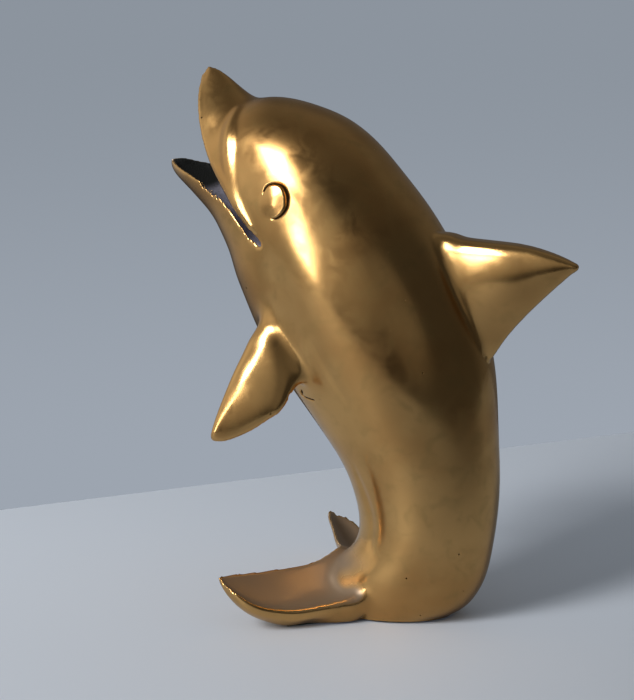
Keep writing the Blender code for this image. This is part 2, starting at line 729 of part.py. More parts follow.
def main():
    for old in list(bpy.data.objects):
        bpy.data.objects.remove(old)

    trunk = as_cutter(loft("trunk", [trunk_ring(section)
                                     for section in sections(TRUNK, TRUNK_STEPS)]))
    grown_trunk = make_grown_trunk()
    mouth = make_mouth()
    halves = {side: half_space(side) for side in (LEFT, RIGHT)}
    dowels, bosses, holes = make_shell_dowels()
    jaw_dowels, jaw_holes = make_jaw_dowels()
    dorsal_socket = make_dorsal_tenon("dorsal_socket", CLEARANCE)
    shared = {
        "hollow": make_hollow(),
        "bosses": bosses,
        "holes": holes,
        "mouth": mouth,
        "jaw_space": make_jaw_space("jaw_space", CLEARANCE),
        "halves": halves,
    }

    pieces = dowels + list(jaw_dowels.values())
    for side in (LEFT, RIGHT):
        name = SIDE_NAMES[side]
        own = [
            jaw_holes[side],
            dorsal_socket,
            make_pectoral_tenon(name + "_pectoral_socket", side, CLEARANCE),
            make_fluke_tenon(name + "_fluke_socket", side, CLEARANCE),
        ]
        pieces.append(make_body_shell(side, trunk.data, shared, own))
        pieces.append(make_pectoral_fin(side, grown_trunk))
        pieces.append(make_fluke(side, grown_trunk, halves[side]))
    pieces.append(make_lower_jaw(trunk.data, mouth, list(jaw_holes.values())))
    pieces.append(make_dorsal_fin(grown_trunk))
    pieces.append(make_base_plate())
    pieces.append(make_felt_pad())
    centre_on_origin(pieces)


main()
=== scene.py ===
"""Looks of a polished brass dolphin that stands on its tail flukes.

The castings are carved from one fine form, so that their joints are as flush as a brazed and
polished seam. Places are in metres, and read in millimetres where a stroke of a file, burr or
chisel is drawn. The dolphin faces -X, and its left side, which the camera sees, faces -Y.
"""

import logging
import math
from collections.abc import Callable, Sequence
from dataclasses import dataclass, field
from enum import Enum
from functools import partial

import bmesh
import bpy
import numpy as np
from mathutils import Euler, Matrix, Vector
from mathutils.bvhtree import BVHTree
from mathutils.kdtree import KDTree


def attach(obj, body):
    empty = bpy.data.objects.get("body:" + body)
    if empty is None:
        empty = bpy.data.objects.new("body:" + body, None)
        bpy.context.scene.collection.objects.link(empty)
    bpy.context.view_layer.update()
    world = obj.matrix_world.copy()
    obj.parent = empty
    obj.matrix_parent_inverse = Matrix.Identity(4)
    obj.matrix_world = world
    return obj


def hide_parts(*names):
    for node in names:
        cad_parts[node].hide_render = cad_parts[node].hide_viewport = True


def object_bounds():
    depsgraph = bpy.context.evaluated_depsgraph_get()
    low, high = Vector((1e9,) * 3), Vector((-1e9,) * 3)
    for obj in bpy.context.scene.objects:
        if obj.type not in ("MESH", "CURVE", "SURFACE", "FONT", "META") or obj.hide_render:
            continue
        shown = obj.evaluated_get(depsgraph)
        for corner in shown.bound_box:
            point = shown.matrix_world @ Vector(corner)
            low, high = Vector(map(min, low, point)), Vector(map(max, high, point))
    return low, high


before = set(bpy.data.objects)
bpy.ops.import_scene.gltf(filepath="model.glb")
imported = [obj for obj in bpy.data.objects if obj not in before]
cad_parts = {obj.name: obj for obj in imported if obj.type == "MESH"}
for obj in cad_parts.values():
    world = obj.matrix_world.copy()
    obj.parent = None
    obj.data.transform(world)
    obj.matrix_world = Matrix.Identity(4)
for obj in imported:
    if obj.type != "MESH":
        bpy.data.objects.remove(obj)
CAD_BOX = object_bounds()
LOG = logging.getLogger("dolphin")

MM = 0.001

# The stations below count x from a point this far behind the middle of the figurine's box
STATION_ORIGIN_X = 0.0062

# The foot's underside, on the felt
FOOT = 0.0012

# Thickness of the cast wall
WALL = 0.0032

# Larger than the whole figurine
FAR = 0.4

# Points closer than this are one
MERGE = 1e-6

# Share of the way to its neighbours' mean that a point goes, and that it goes back
SHRINK = 0.5
SWELL = -0.515

# Settings of a Map Range node that turns softly at both ends
SOFT = {"interpolation_type": "SMOOTHSTEP"}

Row = tuple[float, ...]
Place = tuple[float, float, float]
Piece = bpy.types.Object
Socket = bpy.types.NodeSocket
Adder = Callable[..., bpy.types.Node]


class Side(Enum):
    """The dolphin's own sides, as the sign of their y."""

    LEFT = -1
    RIGHT = 1


class Cut(Enum):
    """What a Boolean keeps."""

    AWAY = "DIFFERENCE"
    WITHIN = "INTERSECT"
    ADD = "UNION"


@dataclass(frozen=True)
class Blade:
    """A fin's form: rows of leading x, y, z, trailing x, y, z and thickness, root to tip.

    The bluntness of an edge is 0 for a square edge, 0.5 for a round one and 1 for a keen one.
    """

    rows: tuple[Row, ...]
    sweep: Place
    thickest: float
    lead_bluntness: float
    trail_bluntness: float
    ridge: float


@dataclass(frozen=True)
class Stroke:
    """A furrow or a swelling along a path in millimetres, from the stations' origin.

    Args:
        path: Points near the surface. The stroke runs along the surface below them.
        widths: Full width in millimetres, spread evenly along the path.
        height: Millimetres outwards, or inwards if negative.
        softness: Share of the half width that the walls take, from steep 0 to round 1.
        sides: The sides that have the stroke. The path itself is on the left.
        polish: How often the stroke is smoothed over.
    """

    path: tuple[Place, ...]
    widths: tuple[float, ...]
    height: float
    softness: float = 1.0
    sides: tuple[Side, ...] = (Side.LEFT, Side.RIGHT)
    polish: int = 0


@dataclass(frozen=True)
class Blending:
    """Where the form is smoothed into a fillet: a path in millimetres and its reach."""

    path: tuple[Place, ...]
    reach: float
    rounds: int
    sides: tuple[Side, ...] = (Side.LEFT, Side.RIGHT)


# Belly x, z, back x, z, half width, where it is widest, throat's extra wall; foot to beak
TRUNK: tuple[Row, ...] = (
    (-0.0240, FOOT, 0.0420, FOOT, 0.0270, 0.40, 0.0000),
    (-0.0255, 0.0110, 0.0512, 0.0080, 0.0290, 0.42, 0.0000),
    (-0.0235, 0.0215, 0.0590, 0.0215, 0.0300, 0.45, 0.0000),
    (-0.0136, 0.0320, 0.0627, 0.0380, 0.0300, 0.48, 0.0000),
    (-0.0080, 0.0450, 0.0650, 0.0560, 0.0305, 0.50, 0.0000),
    (-0.0102, 0.0610, 0.0657, 0.0760, 0.0320, 0.50, 0.0000),
    (-0.0165, 0.0770, 0.0645, 0.0960, 0.0350, 0.50, 0.0000),
    (-0.0263, 0.0915, 0.0632, 0.1165, 0.0385, 0.50, 0.0000),
    (-0.0370, 0.1050, 0.0605, 0.1375, 0.0415, 0.50, 0.0000),
    (-0.0478, 0.1185, 0.0545, 0.1585, 0.0435, 0.50, 0.0000),
    (-0.0578, 0.1330, 0.0455, 0.1790, 0.0445, 0.50, 0.0000),
    (-0.0660, 0.1475, 0.0345, 0.1980, 0.0445, 0.50, 0.0060),
    (-0.0720, 0.1603, 0.0228, 0.2145, 0.0435, 0.50, 0.0240),
    (-0.0768, 0.1713, 0.0100, 0.2293, 0.0420, 0.50, 0.0390),
    (-0.0803, 0.1818, -0.0038, 0.2437, 0.0400, 0.50, 0.0410),
    (-0.0846, 0.1908, -0.0190, 0.2546, 0.0375, 0.50, 0.0390),
    (-0.0890, 0.1983, -0.0345, 0.2606, 0.0345, 0.50, 0.0390),
    (-0.0942, 0.2043, -0.0495, 0.2640, 0.0310, 0.50, 0.0390),
    (-0.0998, 0.2093, -0.0619, 0.2645, 0.0275, 0.50, 0.0000),
    (-0.1048, 0.2136, -0.0709, 0.2640, 0.0246, 0.50, 0.0000),
    (-0.1096, 0.2173, -0.0786, 0.2684, 0.0219, 0.50, 0.0000),
    (-0.1142, 0.2208, -0.0861, 0.2745, 0.0183, 0.54, 0.0000),
    (-0.1178, 0.2250, -0.0930, 0.2783, 0.0132, 0.58, 0.0000),
    (-0.1190, 0.2290, -0.0976, 0.2788, 0.0050, 0.58, 0.0000),
)

# The hollow ends in the forehead, at this row of the trunk
HOLLOW_END = 16

DORSAL_FIN = Blade(
    rows=(
        (0.0220, 0, 0.2000, 0.0480, 0, 0.1260, 0.0240),
        (0.0370, 0, 0.2008, 0.0600, 0, 0.1360, 0.0226),
        (0.0450, 0, 0.1990, 0.0668, 0, 0.1456, 0.0214),
        (0.0560, 0, 0.1982, 0.0733, 0, 0.1543, 0.0205),
        (0.0680, 0, 0.1978, 0.0801, 0, 0.1620, 0.0188),
        (0.0800, 0, 0.1968, 0.0876, 0, 0.1697, 0.0152),
        (0.0920, 0, 0.1943, 0.0956, 0, 0.1775, 0.0110),
        (0.1008, 0, 0.1915, 0.1017, 0, 0.1832, 0.0070),
        (0.1064, 0, 0.1891, 0.1061, 0, 0.1866, 0.0040),
    ),
    sweep=(1.0, 0.0, 0.0),
    thickest=0.42,
    lead_bluntness=0.30,
    trail_bluntness=0.60,
    ridge=0.03,
)

PECTORAL_FIN = Blade(
    rows=(
        (-0.0400, 0.0200, 0.1690, -0.0190, 0.0280, 0.1320, 0.0190),
        (-0.0500, 0.0310, 0.1570, -0.0250, 0.0405, 0.1232, 0.0172),
        (-0.0558, 0.0390, 0.1410, -0.0292, 0.0465, 0.1148, 0.0150),
        (-0.0595, 0.0450, 0.1295, -0.0374, 0.0510, 0.1082, 0.0126),
        (-0.0625, 0.0500, 0.1190, -0.0462, 0.0540, 0.1019, 0.0102),
        (-0.0650, 0.0545, 0.1090, -0.0560, 0.0570, 0.0970, 0.0082),
        (-0.0665, 0.0578, 0.1010, -0.0620, 0.0585, 0.0954, 0.0058),
        (-0.0668, 0.0588, 0.0972, -0.0656, 0.0590, 0.0956, 0.0032),
    ),
    sweep=(-0.4, 0.5, -0.8),
    thickest=0.28,
    lead_bluntness=0.50,
    trail_bluntness=0.50,
    ridge=0.16,
)

# As a blade's rows, and then the depth of the dish above and of the sole below
FLUKE: tuple[Row, ...] = (
    (0.0200, 0.0060, 0.0190, -0.0225, 0.0002, 0.0300, 0.0080, 0.0020, 0.0120),
    (0.0120, 0.0240, 0.0190, -0.0262, 0.0100, 0.0280, 0.0075, 0.0040, 0.0130),
    (0.0030, 0.0350, 0.0155, -0.0320, 0.0200, 0.0250, 0.0060, 0.0070, 0.0120),
    (-0.0090, 0.0460, 0.0126, -0.0390, 0.0310, 0.0252, 0.0050, 0.0078, 0.0054),
    (-0.0195, 0.0555, 0.0116, -0.0453, 0.0420, 0.0260, 0.0048, 0.0078, 0.0046),
    (-0.0295, 0.0640, 0.0132, -0.0510, 0.0515, 0.0269, 0.0048, 0.0070, 0.0030),
    (-0.0385, 0.0705, 0.0170, -0.0556, 0.0590, 0.0276, 0.0052, 0.0050, 0.0010),
    (-0.0475, 0.0723, 0.0230, -0.0582, 0.0645, 0.0280, 0.0046, 0.0030, 0.0000),
    (-0.0550, 0.0695, 0.0262, -0.0592, 0.0675, 0.0281, 0.0030, 0.0000, 0.0000),
)

# Upper lip x, z, lower lip x, z, half width, palate, scoop, overrun through the lips
MOUTH: tuple[Row, ...] = (
    (-0.0440, 0.1925, -0.0450, 0.1900, 0.0180, 0.0010, 0.0010, 0.0),
    (-0.0510, 0.1980, -0.0512, 0.1950, 0.0390, 0.0030, 0.0030, 0.0100),
    (-0.0603, 0.2082, -0.0614, 0.2030, 0.0358, 0.0060, 0.0060, 0.0100),
    (-0.0706, 0.2185, -0.0710, 0.2117, 0.0325, 0.0080, 0.0075, 0.0100),
    (-0.0797, 0.2297, -0.0822, 0.2192, 0.0288, 0.0090, 0.0080, 0.0100),
    (-0.0872, 0.2420, -0.0920, 0.2230, 0.0238, 0.0060, 0.0075, 0.0100),
    (-0.0933, 0.2550, -0.1020, 0.2258, 0.0178, 0.0035, 0.0055, 0.0100),
    (-0.0975, 0.2665, -0.1110, 0.2282, 0.0108, 0.0018, 0.0025, 0.0100),
    (-0.0990, 0.2760, -0.1175, 0.2303, 0.0040, 0.0006, 0.0008, 0.0100),
    (-0.1010, 0.2900, -0.1300, 0.2330, 0.0040, 0.0010, 0.0008, 0.0100),
)

# Thickness of the lips where the mouth's hollow starts
LIP_THICKNESS = 0.0022

# The jaw meets the throat on a plane from the mouth's corner to this x, z point outside
JAW_JOINT_OUTSIDE = (-0.0890, 0.1765)


def at(x: float, y: float, z: float) -> Vector:
    """Turn a station's x, y, z into a place in the frame."""
    return Vector((x + STATION_ORIGIN_X, y, z))


def turns_round(count: int) -> np.ndarray:
    """Spread that many angles evenly round a ring."""
    return np.arange(count) / count * math.tau


def smooth_rows(rows: Sequence[Row] | np.ndarray, steps: int) -> np.ndarray:
    """Read a natural cubic spline through rows of numbers.

    Args:
        rows: The numbers at each station.
        steps: How many rows to give from one station to the next.

    Returns:
        The rows, with every station's own among them.
    """
    values = np.array(rows, dtype=float)
    inner = len(values) - 2
    system = 4 * np.eye(inner) + np.eye(inner, k=1) + np.eye(inner, k=-1)
    bend = np.zeros_like(values)
    bend[1:-1] = np.linalg.solve(system, 6 * (values[:-2] - 2 * values[1:-1] + values[2:]))
    places = np.arange((len(values) - 1) * steps + 1) / steps
    index = np.minimum(places.astype(int), len(values) - 2)
    share = (places - index)[:, None]
    rest = 1 - share
    return (rest * values[index] + share * values[index + 1]
            + ((rest ** 3 - rest) * bend[index] + (share ** 3 - share) * bend[index + 1]) / 6)


def soft_step(low: float, high: float, values: np.ndarray) -> np.ndarray:
    """Rise smoothly from 0 at low to 1 at high, or fall if high is the lower."""
    share = np.clip((values - low) / (high - low), 0, 1)
    return share * share * (3 - 2 * share)


def to_object(name: str, mesh: bmesh.types.BMesh) -> Piece:
    """Free a bmesh into a new object.

    Args:
        name: The object's name.
        mesh: The mesh, which is gone afterwards.

    Returns:
        The object, in the scene.
    """
    data = bpy.data.meshes.new(name)
    mesh.to_mesh(data)
    mesh.free()
    piece = bpy.data.objects.new(name, data)
    bpy.context.scene.collection.objects.link(piece)
    return piece


def loft(name: str, rings: np.ndarray) -> Piece:
    """Wrap a grid round a row of rings and close both ends.

    Args:
        name: The new object's name.
        rings: An array of rings, points and x, y, z.

    Returns:
        The closed solid.
    """
    rows, columns = rings.shape[:2]
    mesh = bmesh.new()
    bmesh.ops.create_grid(mesh, x_segments=columns, y_segments=rows - 1, size=1)
    wrapped = np.concatenate([rings, rings[:, :1]], axis=1).reshape(-1, 3)
    for vertex, point in zip(mesh.verts, wrapped):
        vertex.co = point
    bmesh.ops.remove_doubles(mesh, verts=mesh.verts, dist=MERGE)
    bmesh.ops.dissolve_degenerate(mesh, edges=mesh.edges, dist=MERGE)
    ends = [edge for edge in mesh.edges if edge.is_boundary]
    bmesh.ops.holes_fill(mesh, edges=ends, sides=0)
    bmesh.ops.recalc_face_normals(mesh, faces=mesh.faces)
    return to_object(name, mesh)


def prism(name: str, outline: Sequence[Vector], way: Vector) -> Piece:
    """Extrude a flat outline.

    Args:
        name: The new object's name.
        outline: The corners of the first end.
        way: The way from the first end to the second.

    Returns:
        The closed solid.
    """
    mesh = bmesh.new()
    corners = [mesh.verts.new(point) for point in outline]
    bmesh.ops.contextual_create(mesh, geom=corners)
    grown = bmesh.ops.extrude_face_region(mesh, geom=list(mesh.faces), use_keep_orig=True)["geom"]
    moved = [item for item in grown if isinstance(item, bmesh.types.BMVert)]
    bmesh.ops.translate(mesh, verts=moved, vec=way)
    bmesh.ops.recalc_face_normals(mesh, faces=mesh.faces)
    return to_object(name, mesh)


def block(name: str, centre: Vector, size: Vector) -> Piece:
    """Make a box.

    Args:
        name: The new object's name.
        centre: Its middle.
        size: Its full sizes along x, y and z.

    Returns:
        The closed solid.
    """
    mesh = bmesh.new()
    bmesh.ops.create_cube(mesh, size=1, matrix=Matrix.Diagonal((*size, 1)))
    bmesh.ops.transform(mesh, matrix=Matrix.Translation(centre), verts=mesh.verts)
    return to_object(name, mesh)


def baked(piece: Piece) -> Piece:
    """Apply a piece's modifiers.

    Args:
        piece: The piece, whose mesh is replaced by the modified one.

    Returns:
        The same piece.
    """
    depsgraph = bpy.context.evaluated_depsgraph_get()
    data = bpy.data.meshes.new_from_object(piece.evaluated_get(depsgraph))
    piece.modifiers.clear()
    piece.data = data
    return piece


def carve(piece: Piece, *cuts: tuple[Cut, Piece]) -> Piece:
    """Apply Booleans to a piece, one after another.

    Args:
        piece: The piece that is carved.
        cuts: What each Boolean keeps, and the piece that it works with.

    Returns:
        The same piece.
    """
    for number, (cut, other) in enumerate(cuts):
        modifier = piece.modifiers.new(f"cut_{number}", "BOOLEAN")
        modifier.operation = cut.value
        modifier.solver = "MANIFOLD"
        modifier.object = other
    return baked(piece)


def copied(name: str, piece: Piece) -> Piece:
    """Copy a piece with its mesh.

    Args:
        name: The copy's name.
        piece: The piece that is copied.

    Returns:
        The copy, in the scene.
    """
    twin = bpy.data.objects.new(name, piece.data.copy())
    bpy.context.scene.collection.objects.link(twin)
    return twin


def discard(*pieces: Piece) -> None:
    """Remove cutters and guides."""
    for piece in pieces:
        bpy.data.objects.remove(piece)


def surface_of(piece: Piece) -> BVHTree:
    """Make a tree that finds the nearest place on a piece.

    Args:
        piece: The piece, whose mesh is read as it is now.

    Returns:
        The tree.
    """
    mesh = bmesh.new()
    mesh.from_mesh(piece.data)
    tree = BVHTree.FromBMesh(mesh)
    mesh.free()
    return tree


def read_rows(rows: Sequence, name: str, kind: type = float, width: int = 3) -> np.ndarray:
    """Read one property of a mesh's points, edges, corners or faces.

    Args:
        rows: The mesh's own list of them.
        name: The property.
        kind: Its kind of number.
        width: How many numbers each of them has.

    Returns:
        The numbers, one row for each.
    """
    values = np.empty(len(rows) * width, dtype=kind)
    rows.foreach_get(name, values)
    return values.reshape(-1, width)


def read_points(data: bpy.types.Mesh) -> np.ndarray:
    """Give a mesh's points as an array."""
    return read_rows(data.vertices, "co")


def read_normals(data: bpy.types.Mesh) -> np.ndarray:
    """Give the smooth normals at a mesh's points as an array."""
    return read_rows(data.vertex_normals, "vector", np.float32).astype(float)


def write_points(data: bpy.types.Mesh, points: np.ndarray) -> None:
    """Move a mesh's points."""
    data.vertices.foreach_set("co", points.ravel())
    data.update()


def distance_along(points: np.ndarray, path: np.ndarray) -> tuple[np.ndarray, np.ndarray]:
    """Measure how far points lie from a path.

    Args:
        points: The points, one a row.
        path: The path's corners, one a row.

    Returns:
        The distances, and where along the path the nearest place is, from 0 to 1.
    """
    nearest = np.full(len(points), np.inf)
    place = np.zeros(len(points))
    for number, (start, end) in enumerate(zip(path[:-1], path[1:])):
        run = end - start
        share = np.clip((points - start) @ run / max(run @ run, MERGE ** 2), 0, 1)
        gap = np.linalg.norm(points - start - share[:, None] * run, axis=1)
        closer = gap < nearest
        nearest[closer] = gap[closer]
        place[closer] = (number + share[closer]) / (len(path) - 1)
    return nearest, place


def near_box(points: np.ndarray, path: np.ndarray, reach: float) -> np.ndarray:
    """List the points that lie in the box round a path."""
    low, high = path.min(axis=0) - reach, path.max(axis=0) + reach
    return np.nonzero(np.all((points > low) & (points < high), axis=1))[0]



def nearest_of(points: np.ndarray, paths: Sequence[np.ndarray], reach: float) -> np.ndarray:
    """Measure how far points lie from the nearest of some paths.

    Args:
        points: The points, one a row.
        paths: The paths, each as rows of corners.
        reach: How far round each path's box points are measured.

    Returns:
        The distances, endless outside all the boxes.
    """
    nearest = np.full(len(points), np.inf)
    for path in paths:
        index = near_box(points, path, reach)
        gap, _ = distance_along(points[index], path)
        nearest[index] = np.minimum(nearest[index], gap)
    return nearest


def mirrored(path: Sequence[Place], side: Side) -> np.ndarray:
    """Turn a drawn path into places.

    Args:
        path: Points on the left side, in millimetres from the stations' origin.
        side: The side that the path is wanted for.

    Returns:
        The points in metres, one a row.
    """
    places = np.array(path, dtype=float) * MM
    places[:, 0] += STATION_ORIGIN_X
    places[:, 1] *= -side.value
    return places


class Neighbours:
    """The neighbours of a mesh's points along its edges."""

    def __init__(self, pairs: np.ndarray, points: int) -> None:
        """Read the edges.

        Args:
            pairs: The edges, as pairs of points.
            points: How many points the mesh has.
        """
        self.starts, self.ends = np.concatenate([pairs, pairs[:, ::-1]]).T
        self.points = points
        self.count = np.maximum(np.bincount(self.starts, minlength=points), 1)

    def mean(self, values: np.ndarray) -> np.ndarray:
        """Give the mean of each point's neighbours.

        Args:
            values: A number or a row of numbers for each point.

        Returns:
            The means, in the same form.
        """
        if values.ndim > 1:
            return np.stack([self.mean(column) for column in values.T], axis=1)
        total = np.bincount(self.starts, weights=values[self.ends], minlength=self.points)
        return total / self.count


@dataclass
class FineForm:
    """The whole figurine's outer surface, as one fine skin of even small faces.

    The beak's section turns fuller from one of the trunk's stations to another. A bead starts with
    a share of its radius, and its heart lies below the surface by a share of it. The flukes' rim is
    rounder at the root, and fades to its plain radius along the section.
    """

    voxel: float = 0.00085
    trunk_points: int = 96
    trunk_steps: int = 8
    blade_points: int = 72
    blade_steps: int = 10
    mouth_points: int = 25
    mouth_steps: int = 8
    mouth_fullness: float = 0.8
    mouth_margin: float = 0.002
    rim_bluntness: float = 0.28
    rim_radius: float = 0.0016
    root_rim: float = 0.0046
    nose_fade: tuple[float, float] = (0.6, 0.2)
    dish_power: float = 1.35
    rim_rounding: int = 6
    sole_front: float = 1.0
    sole_back: float = 1.2
    beak: Place = (19.0, 22.0, 1.25)
    smoothing: int = 40
    lip_smoothing: int = 20
    lip_rounding: int = 5
    lip_bead: float = 0.0012
    bead_start: float = 0.35
    bead_depth: float = 0.85
    bead_points: int = 16
    lip_reach: float = 0.0030
    depth_blur: int = 3
    bend_blur: int = 5
    below_foot: float = 0.0060
    refined_core: float = 0.7
    refined_rounding: int = 6
    stroke_steps: int = 6
    stroke_margin: float = 0.004
    stroke_rounding: int = 4
    least_softness: float = 0.05
    blendings: tuple[Blending, ...] = ()
    strokes: tuple[Stroke, ...] = ()
    refined: tuple[Stroke, ...] = ()
    skin: Piece | None = field(default=None, init=False)
    depth: np.ndarray | None = field(default=None, init=False)

    def trunk_rings(self, grown: float = 0.0, last: int | None = None) -> np.ndarray:
        """Give the trunk's rings, grown outwards or, below zero, drawn in to the hollow.

        Args:
            grown: How far the rings are moved outwards. Drawn-in rings leave the throat solid.
            last: The last station, or all of them.

        Returns:
            The rings, from below the foot to the beak.
        """
        rows = smooth_rows(TRUNK, self.trunk_steps)
        if last is not None:
            rows = rows[:last * self.trunk_steps + 1]
        turns = turns_round(self.trunk_points)
        begins, ends, flat = self.beak
        beak = soft_step(begins, ends, np.arange(len(rows)) / self.trunk_steps)
        rings = []
        for row, share in zip(rows, beak):
            belly_x, belly_z, back_x, back_z, half_width, widest, throat = row
            belly, back = np.array(at(belly_x, 0, belly_z)), np.array(at(back_x, 0, back_z))
            depth = float(np.linalg.norm(back - belly))
            along = (back - belly) / depth
            throat = max(throat, 0.0) if grown < 0 else 0.0
            belly = belly - along * (grown - throat)
            back = back + along * grown
            half_width = half_width * math.sqrt(1 - throat / depth) + grown
            span = back - belly
            heart = belly + span * widest
            reach = np.where(np.cos(turns) >= 0, 1 - widest, widest)
            power = np.where(np.cos(turns) >= 0, 2 / (2 + (flat - 2) * share), 1.0)
            along = np.sign(np.cos(turns)) * np.abs(np.cos(turns)) ** power
            ring = heart + np.outer(reach * along, span)
            ring[:, 1] = -half_width * np.sign(np.sin(turns)) * np.abs(np.sin(turns)) ** power
            rings.append(ring)
        below = rings[0] - np.array([0, 0, self.below_foot])
        return np.array([below] + rings)

    def chords(self, rows: tuple[Row, ...], side: Side) -> list[tuple[np.ndarray, ...]]:
        """Read a blade's rows on one side.

        Args:
            rows: The blade's rows, whose first six numbers are its edges' places.
            side: The side that it is for.

        Returns:
            Every row, with its leading and its trailing place.
        """
        return [(row, *(np.array(at(row[start], row[start + 1] * side.value, row[start + 2]))
                        for start in (0, 3)))
                for row in smooth_rows(rows, self.blade_steps)]

    def blade_rings(self, blade: Blade, side: Side) -> np.ndarray:
        """Give a fin's rings.

        Args:
            blade: The fin's form.
            side: The side that it is for.

        Returns:
            The rings, each round its section from the leading edge and back.
        """
        turns = turns_round(self.blade_points)
        share = (1 - np.cos(turns)) / 2
        warped = share ** (math.log(0.5) / math.log(blade.thickest))
        full = np.clip(4 * warped * (1 - warped), 0, 1)
        bluntness = np.where(warped < 0.5, blade.lead_bluntness, blade.trail_bluntness)
        swell = (1 - blade.ridge) * full ** bluntness + blade.ridge * (1 - np.abs(2 * warped - 1))
        swell *= np.sign(np.sin(turns)) / 2
        forward, outward, upward = blade.sweep
        sweep = np.array([forward, side.value * outward, upward])
        rings = []
        for row, lead, trail in self.chords(blade.rows, side):
            normal = np.cross(trail - lead, sweep)
            normal /= np.linalg.norm(normal)
            middle = lead + share[:, None] * (trail - lead)
            rings.append(middle + np.outer(swell * row[6], normal))
        return np.array(rings)

    def fluke_rings(self, side: Side) -> np.ndarray:
        """Give a fluke's rings: a dish above, and a sole that sinks below the foot.

        Args:
            side: The side that it is for.

        Returns:
            The rings, each round its section from the leading rim and back.
        """
        turns = turns_round(self.blade_points)
        share = (1 - np.cos(turns)) / 2
        arch = 4 * share * (1 - share)
        rings = []
        for row, lead, trail in self.chords(FLUKE, side):
            ring = lead + share[:, None] * (trail - lead)
            thickness, dish, sole = row[6], row[7], max(row[8], 0.0)
            steep = np.where(share < 0.5, self.sole_front, self.sole_back)
            nose = (self.root_rim - self.rim_radius) * min(sole / FLUKE[0][8], 1)
            radius = self.rim_radius + nose * soft_step(*self.nose_fade, share)
            within = np.minimum(share, 1 - share) * np.linalg.norm(trail - lead) / radius
            rim = radius * (1 - np.sqrt(1 - (1 - np.minimum(within, 1)) ** 2))
            full = np.maximum(thickness - 2 * radius, 0.0)
            dished = dish * arch ** self.dish_power
            sunk = (dished + 2 * radius - rim + full * arch ** self.rim_bluntness
                    + sole * arch ** steep)
            ring[:, 2] -= np.where(np.sin(turns) < 0, sunk, dished + rim)
            rings.append(ring)
        return np.array(rings)

    def mouth_rings(self) -> np.ndarray:
        """Give the mouth's rings.

        Returns:
            The rings, each over the palate and back along the scoop of the jaw.
        """
        outs = np.cos(np.linspace(0, math.pi, self.mouth_points))
        heights = np.sqrt(1 - outs ** 2) ** self.mouth_fullness
        rings = []
        for row in smooth_rows(MOUTH, self.mouth_steps):
            upper, lower = np.array(at(row[0], 0, row[1])), np.array(at(row[2], 0, row[3]))
            half_width, palate, scoop, overrun = row[4], row[5], row[6], max(row[7], 0.0)
            rise = (upper - lower) / np.linalg.norm(upper - lower)
            inner = max(half_width - LIP_THICKNESS, half_width / 2)
            across = np.concatenate([[half_width + overrun], inner * outs,
                                     [-half_width - overrun]])
            height = np.concatenate([[0], heights, [0]])
            over = upper + np.outer(palate * height, rise)
            under = lower - np.outer(scoop * height, rise)
            over[:, 1] = across
            under[:, 1] = across
            rings.append(np.concatenate([over, under[::-1]]))
        return np.array(rings)

    def build(self) -> None:
        """Fuse the lofts into one skin, fillet its roots and cut its strokes."""
        trunk = loft("trunk_form", self.trunk_rings())
        mouth = loft("mouth_form", self.mouth_rings())
        blades = [loft("dorsal_form", self.blade_rings(DORSAL_FIN, Side.RIGHT))]
        for side in Side:
            blades.append(loft("pectoral_form", self.blade_rings(PECTORAL_FIN, side)))
            blades.append(loft("fluke_form", self.fluke_rings(side)))
        outer = surface_of(trunk)
        self.skin = copied("skin", trunk)
        beads = self.lip_beads(outer)
        carve(self.skin, *((Cut.ADD, blade) for blade in blades), (Cut.AWAY, mouth),
              *((Cut.ADD, bead) for bead in beads))
        exact = surface_of(self.skin)
        remesh = self.skin.modifiers.new("even_faces", "REMESH")
        remesh.mode = "VOXEL"
        remesh.voxel_size = self.voxel
        baked(self.skin)
        LOG.info("skin of %d faces", len(self.skin.data.polygons))
        self.settle(exact, np.ones(len(self.skin.data.vertices)))
        self.measure_depth(outer, mouth)
        self.smooth_all(exact)
        self.refine()
        for stroke in self.strokes:
            self.draw(stroke)
        self.smooth(np.ones(len(self.skin.data.vertices)), 1)
        discard(trunk, mouth, *blades, *beads)

    def lip_beads(self, outer: BVHTree) -> list[Piece]:
        """Make a round rod along each side's upper lip, which touches the trunk from inside.

        Args:
            outer: The trunk's surface.

        Returns:
            The rods, thin at the mouth's corner.
        """
        turns = turns_round(self.bead_points)[:, None]
        rows = smooth_rows(MOUTH[1:-1], self.mouth_steps)
        beads = []
        for side in Side:
            path = []
            for row in rows:
                heart = at(row[0], 0, row[1])
                place = outer.ray_cast(heart, Vector((0, side.value, 0)))[0]
                if place:
                    inner = max(abs(place.y) - self.bead_depth * self.lip_bead, 0.0)
                    path.append((heart.x, side.value * inner, heart.z))
            run = np.gradient(np.array(path), axis=0)
            across = np.cross(run, (0.0, 1.0, 0.0))
            across /= np.linalg.norm(across, axis=1)[:, None]
            other = np.cross(run, across)
            other /= np.linalg.norm(other, axis=1)[:, None]
            grown = soft_step(0, 2 * self.mouth_steps, np.arange(len(path)))
            radii = self.lip_bead * (self.bead_start + (1 - self.bead_start) * grown)
            around = np.cos(turns) * across[:, None] + np.sin(turns) * other[:, None]
            rings = np.array(path)[:, None] + radii[:, None, None] * around
            beads.append(loft("lip_bead", rings))
        return beads

    def settle(self, exact: BVHTree, weights: np.ndarray) -> None:
        """Move the skin's points onto the lofts' own surface, which takes out the voxels' steps.

        Args:
            exact: The surface of the lofts.
            weights: The share of the way that each point goes, from 0 to 1.
        """
        points = read_points(self.skin.data)
        for index in np.nonzero(weights)[0]:
            place = exact.find_nearest(Vector(points[index]), 2 * self.voxel)[0]
            if place:
                points[index] += weights[index] * (np.array(place) - points[index])
        write_points(self.skin.data, points)

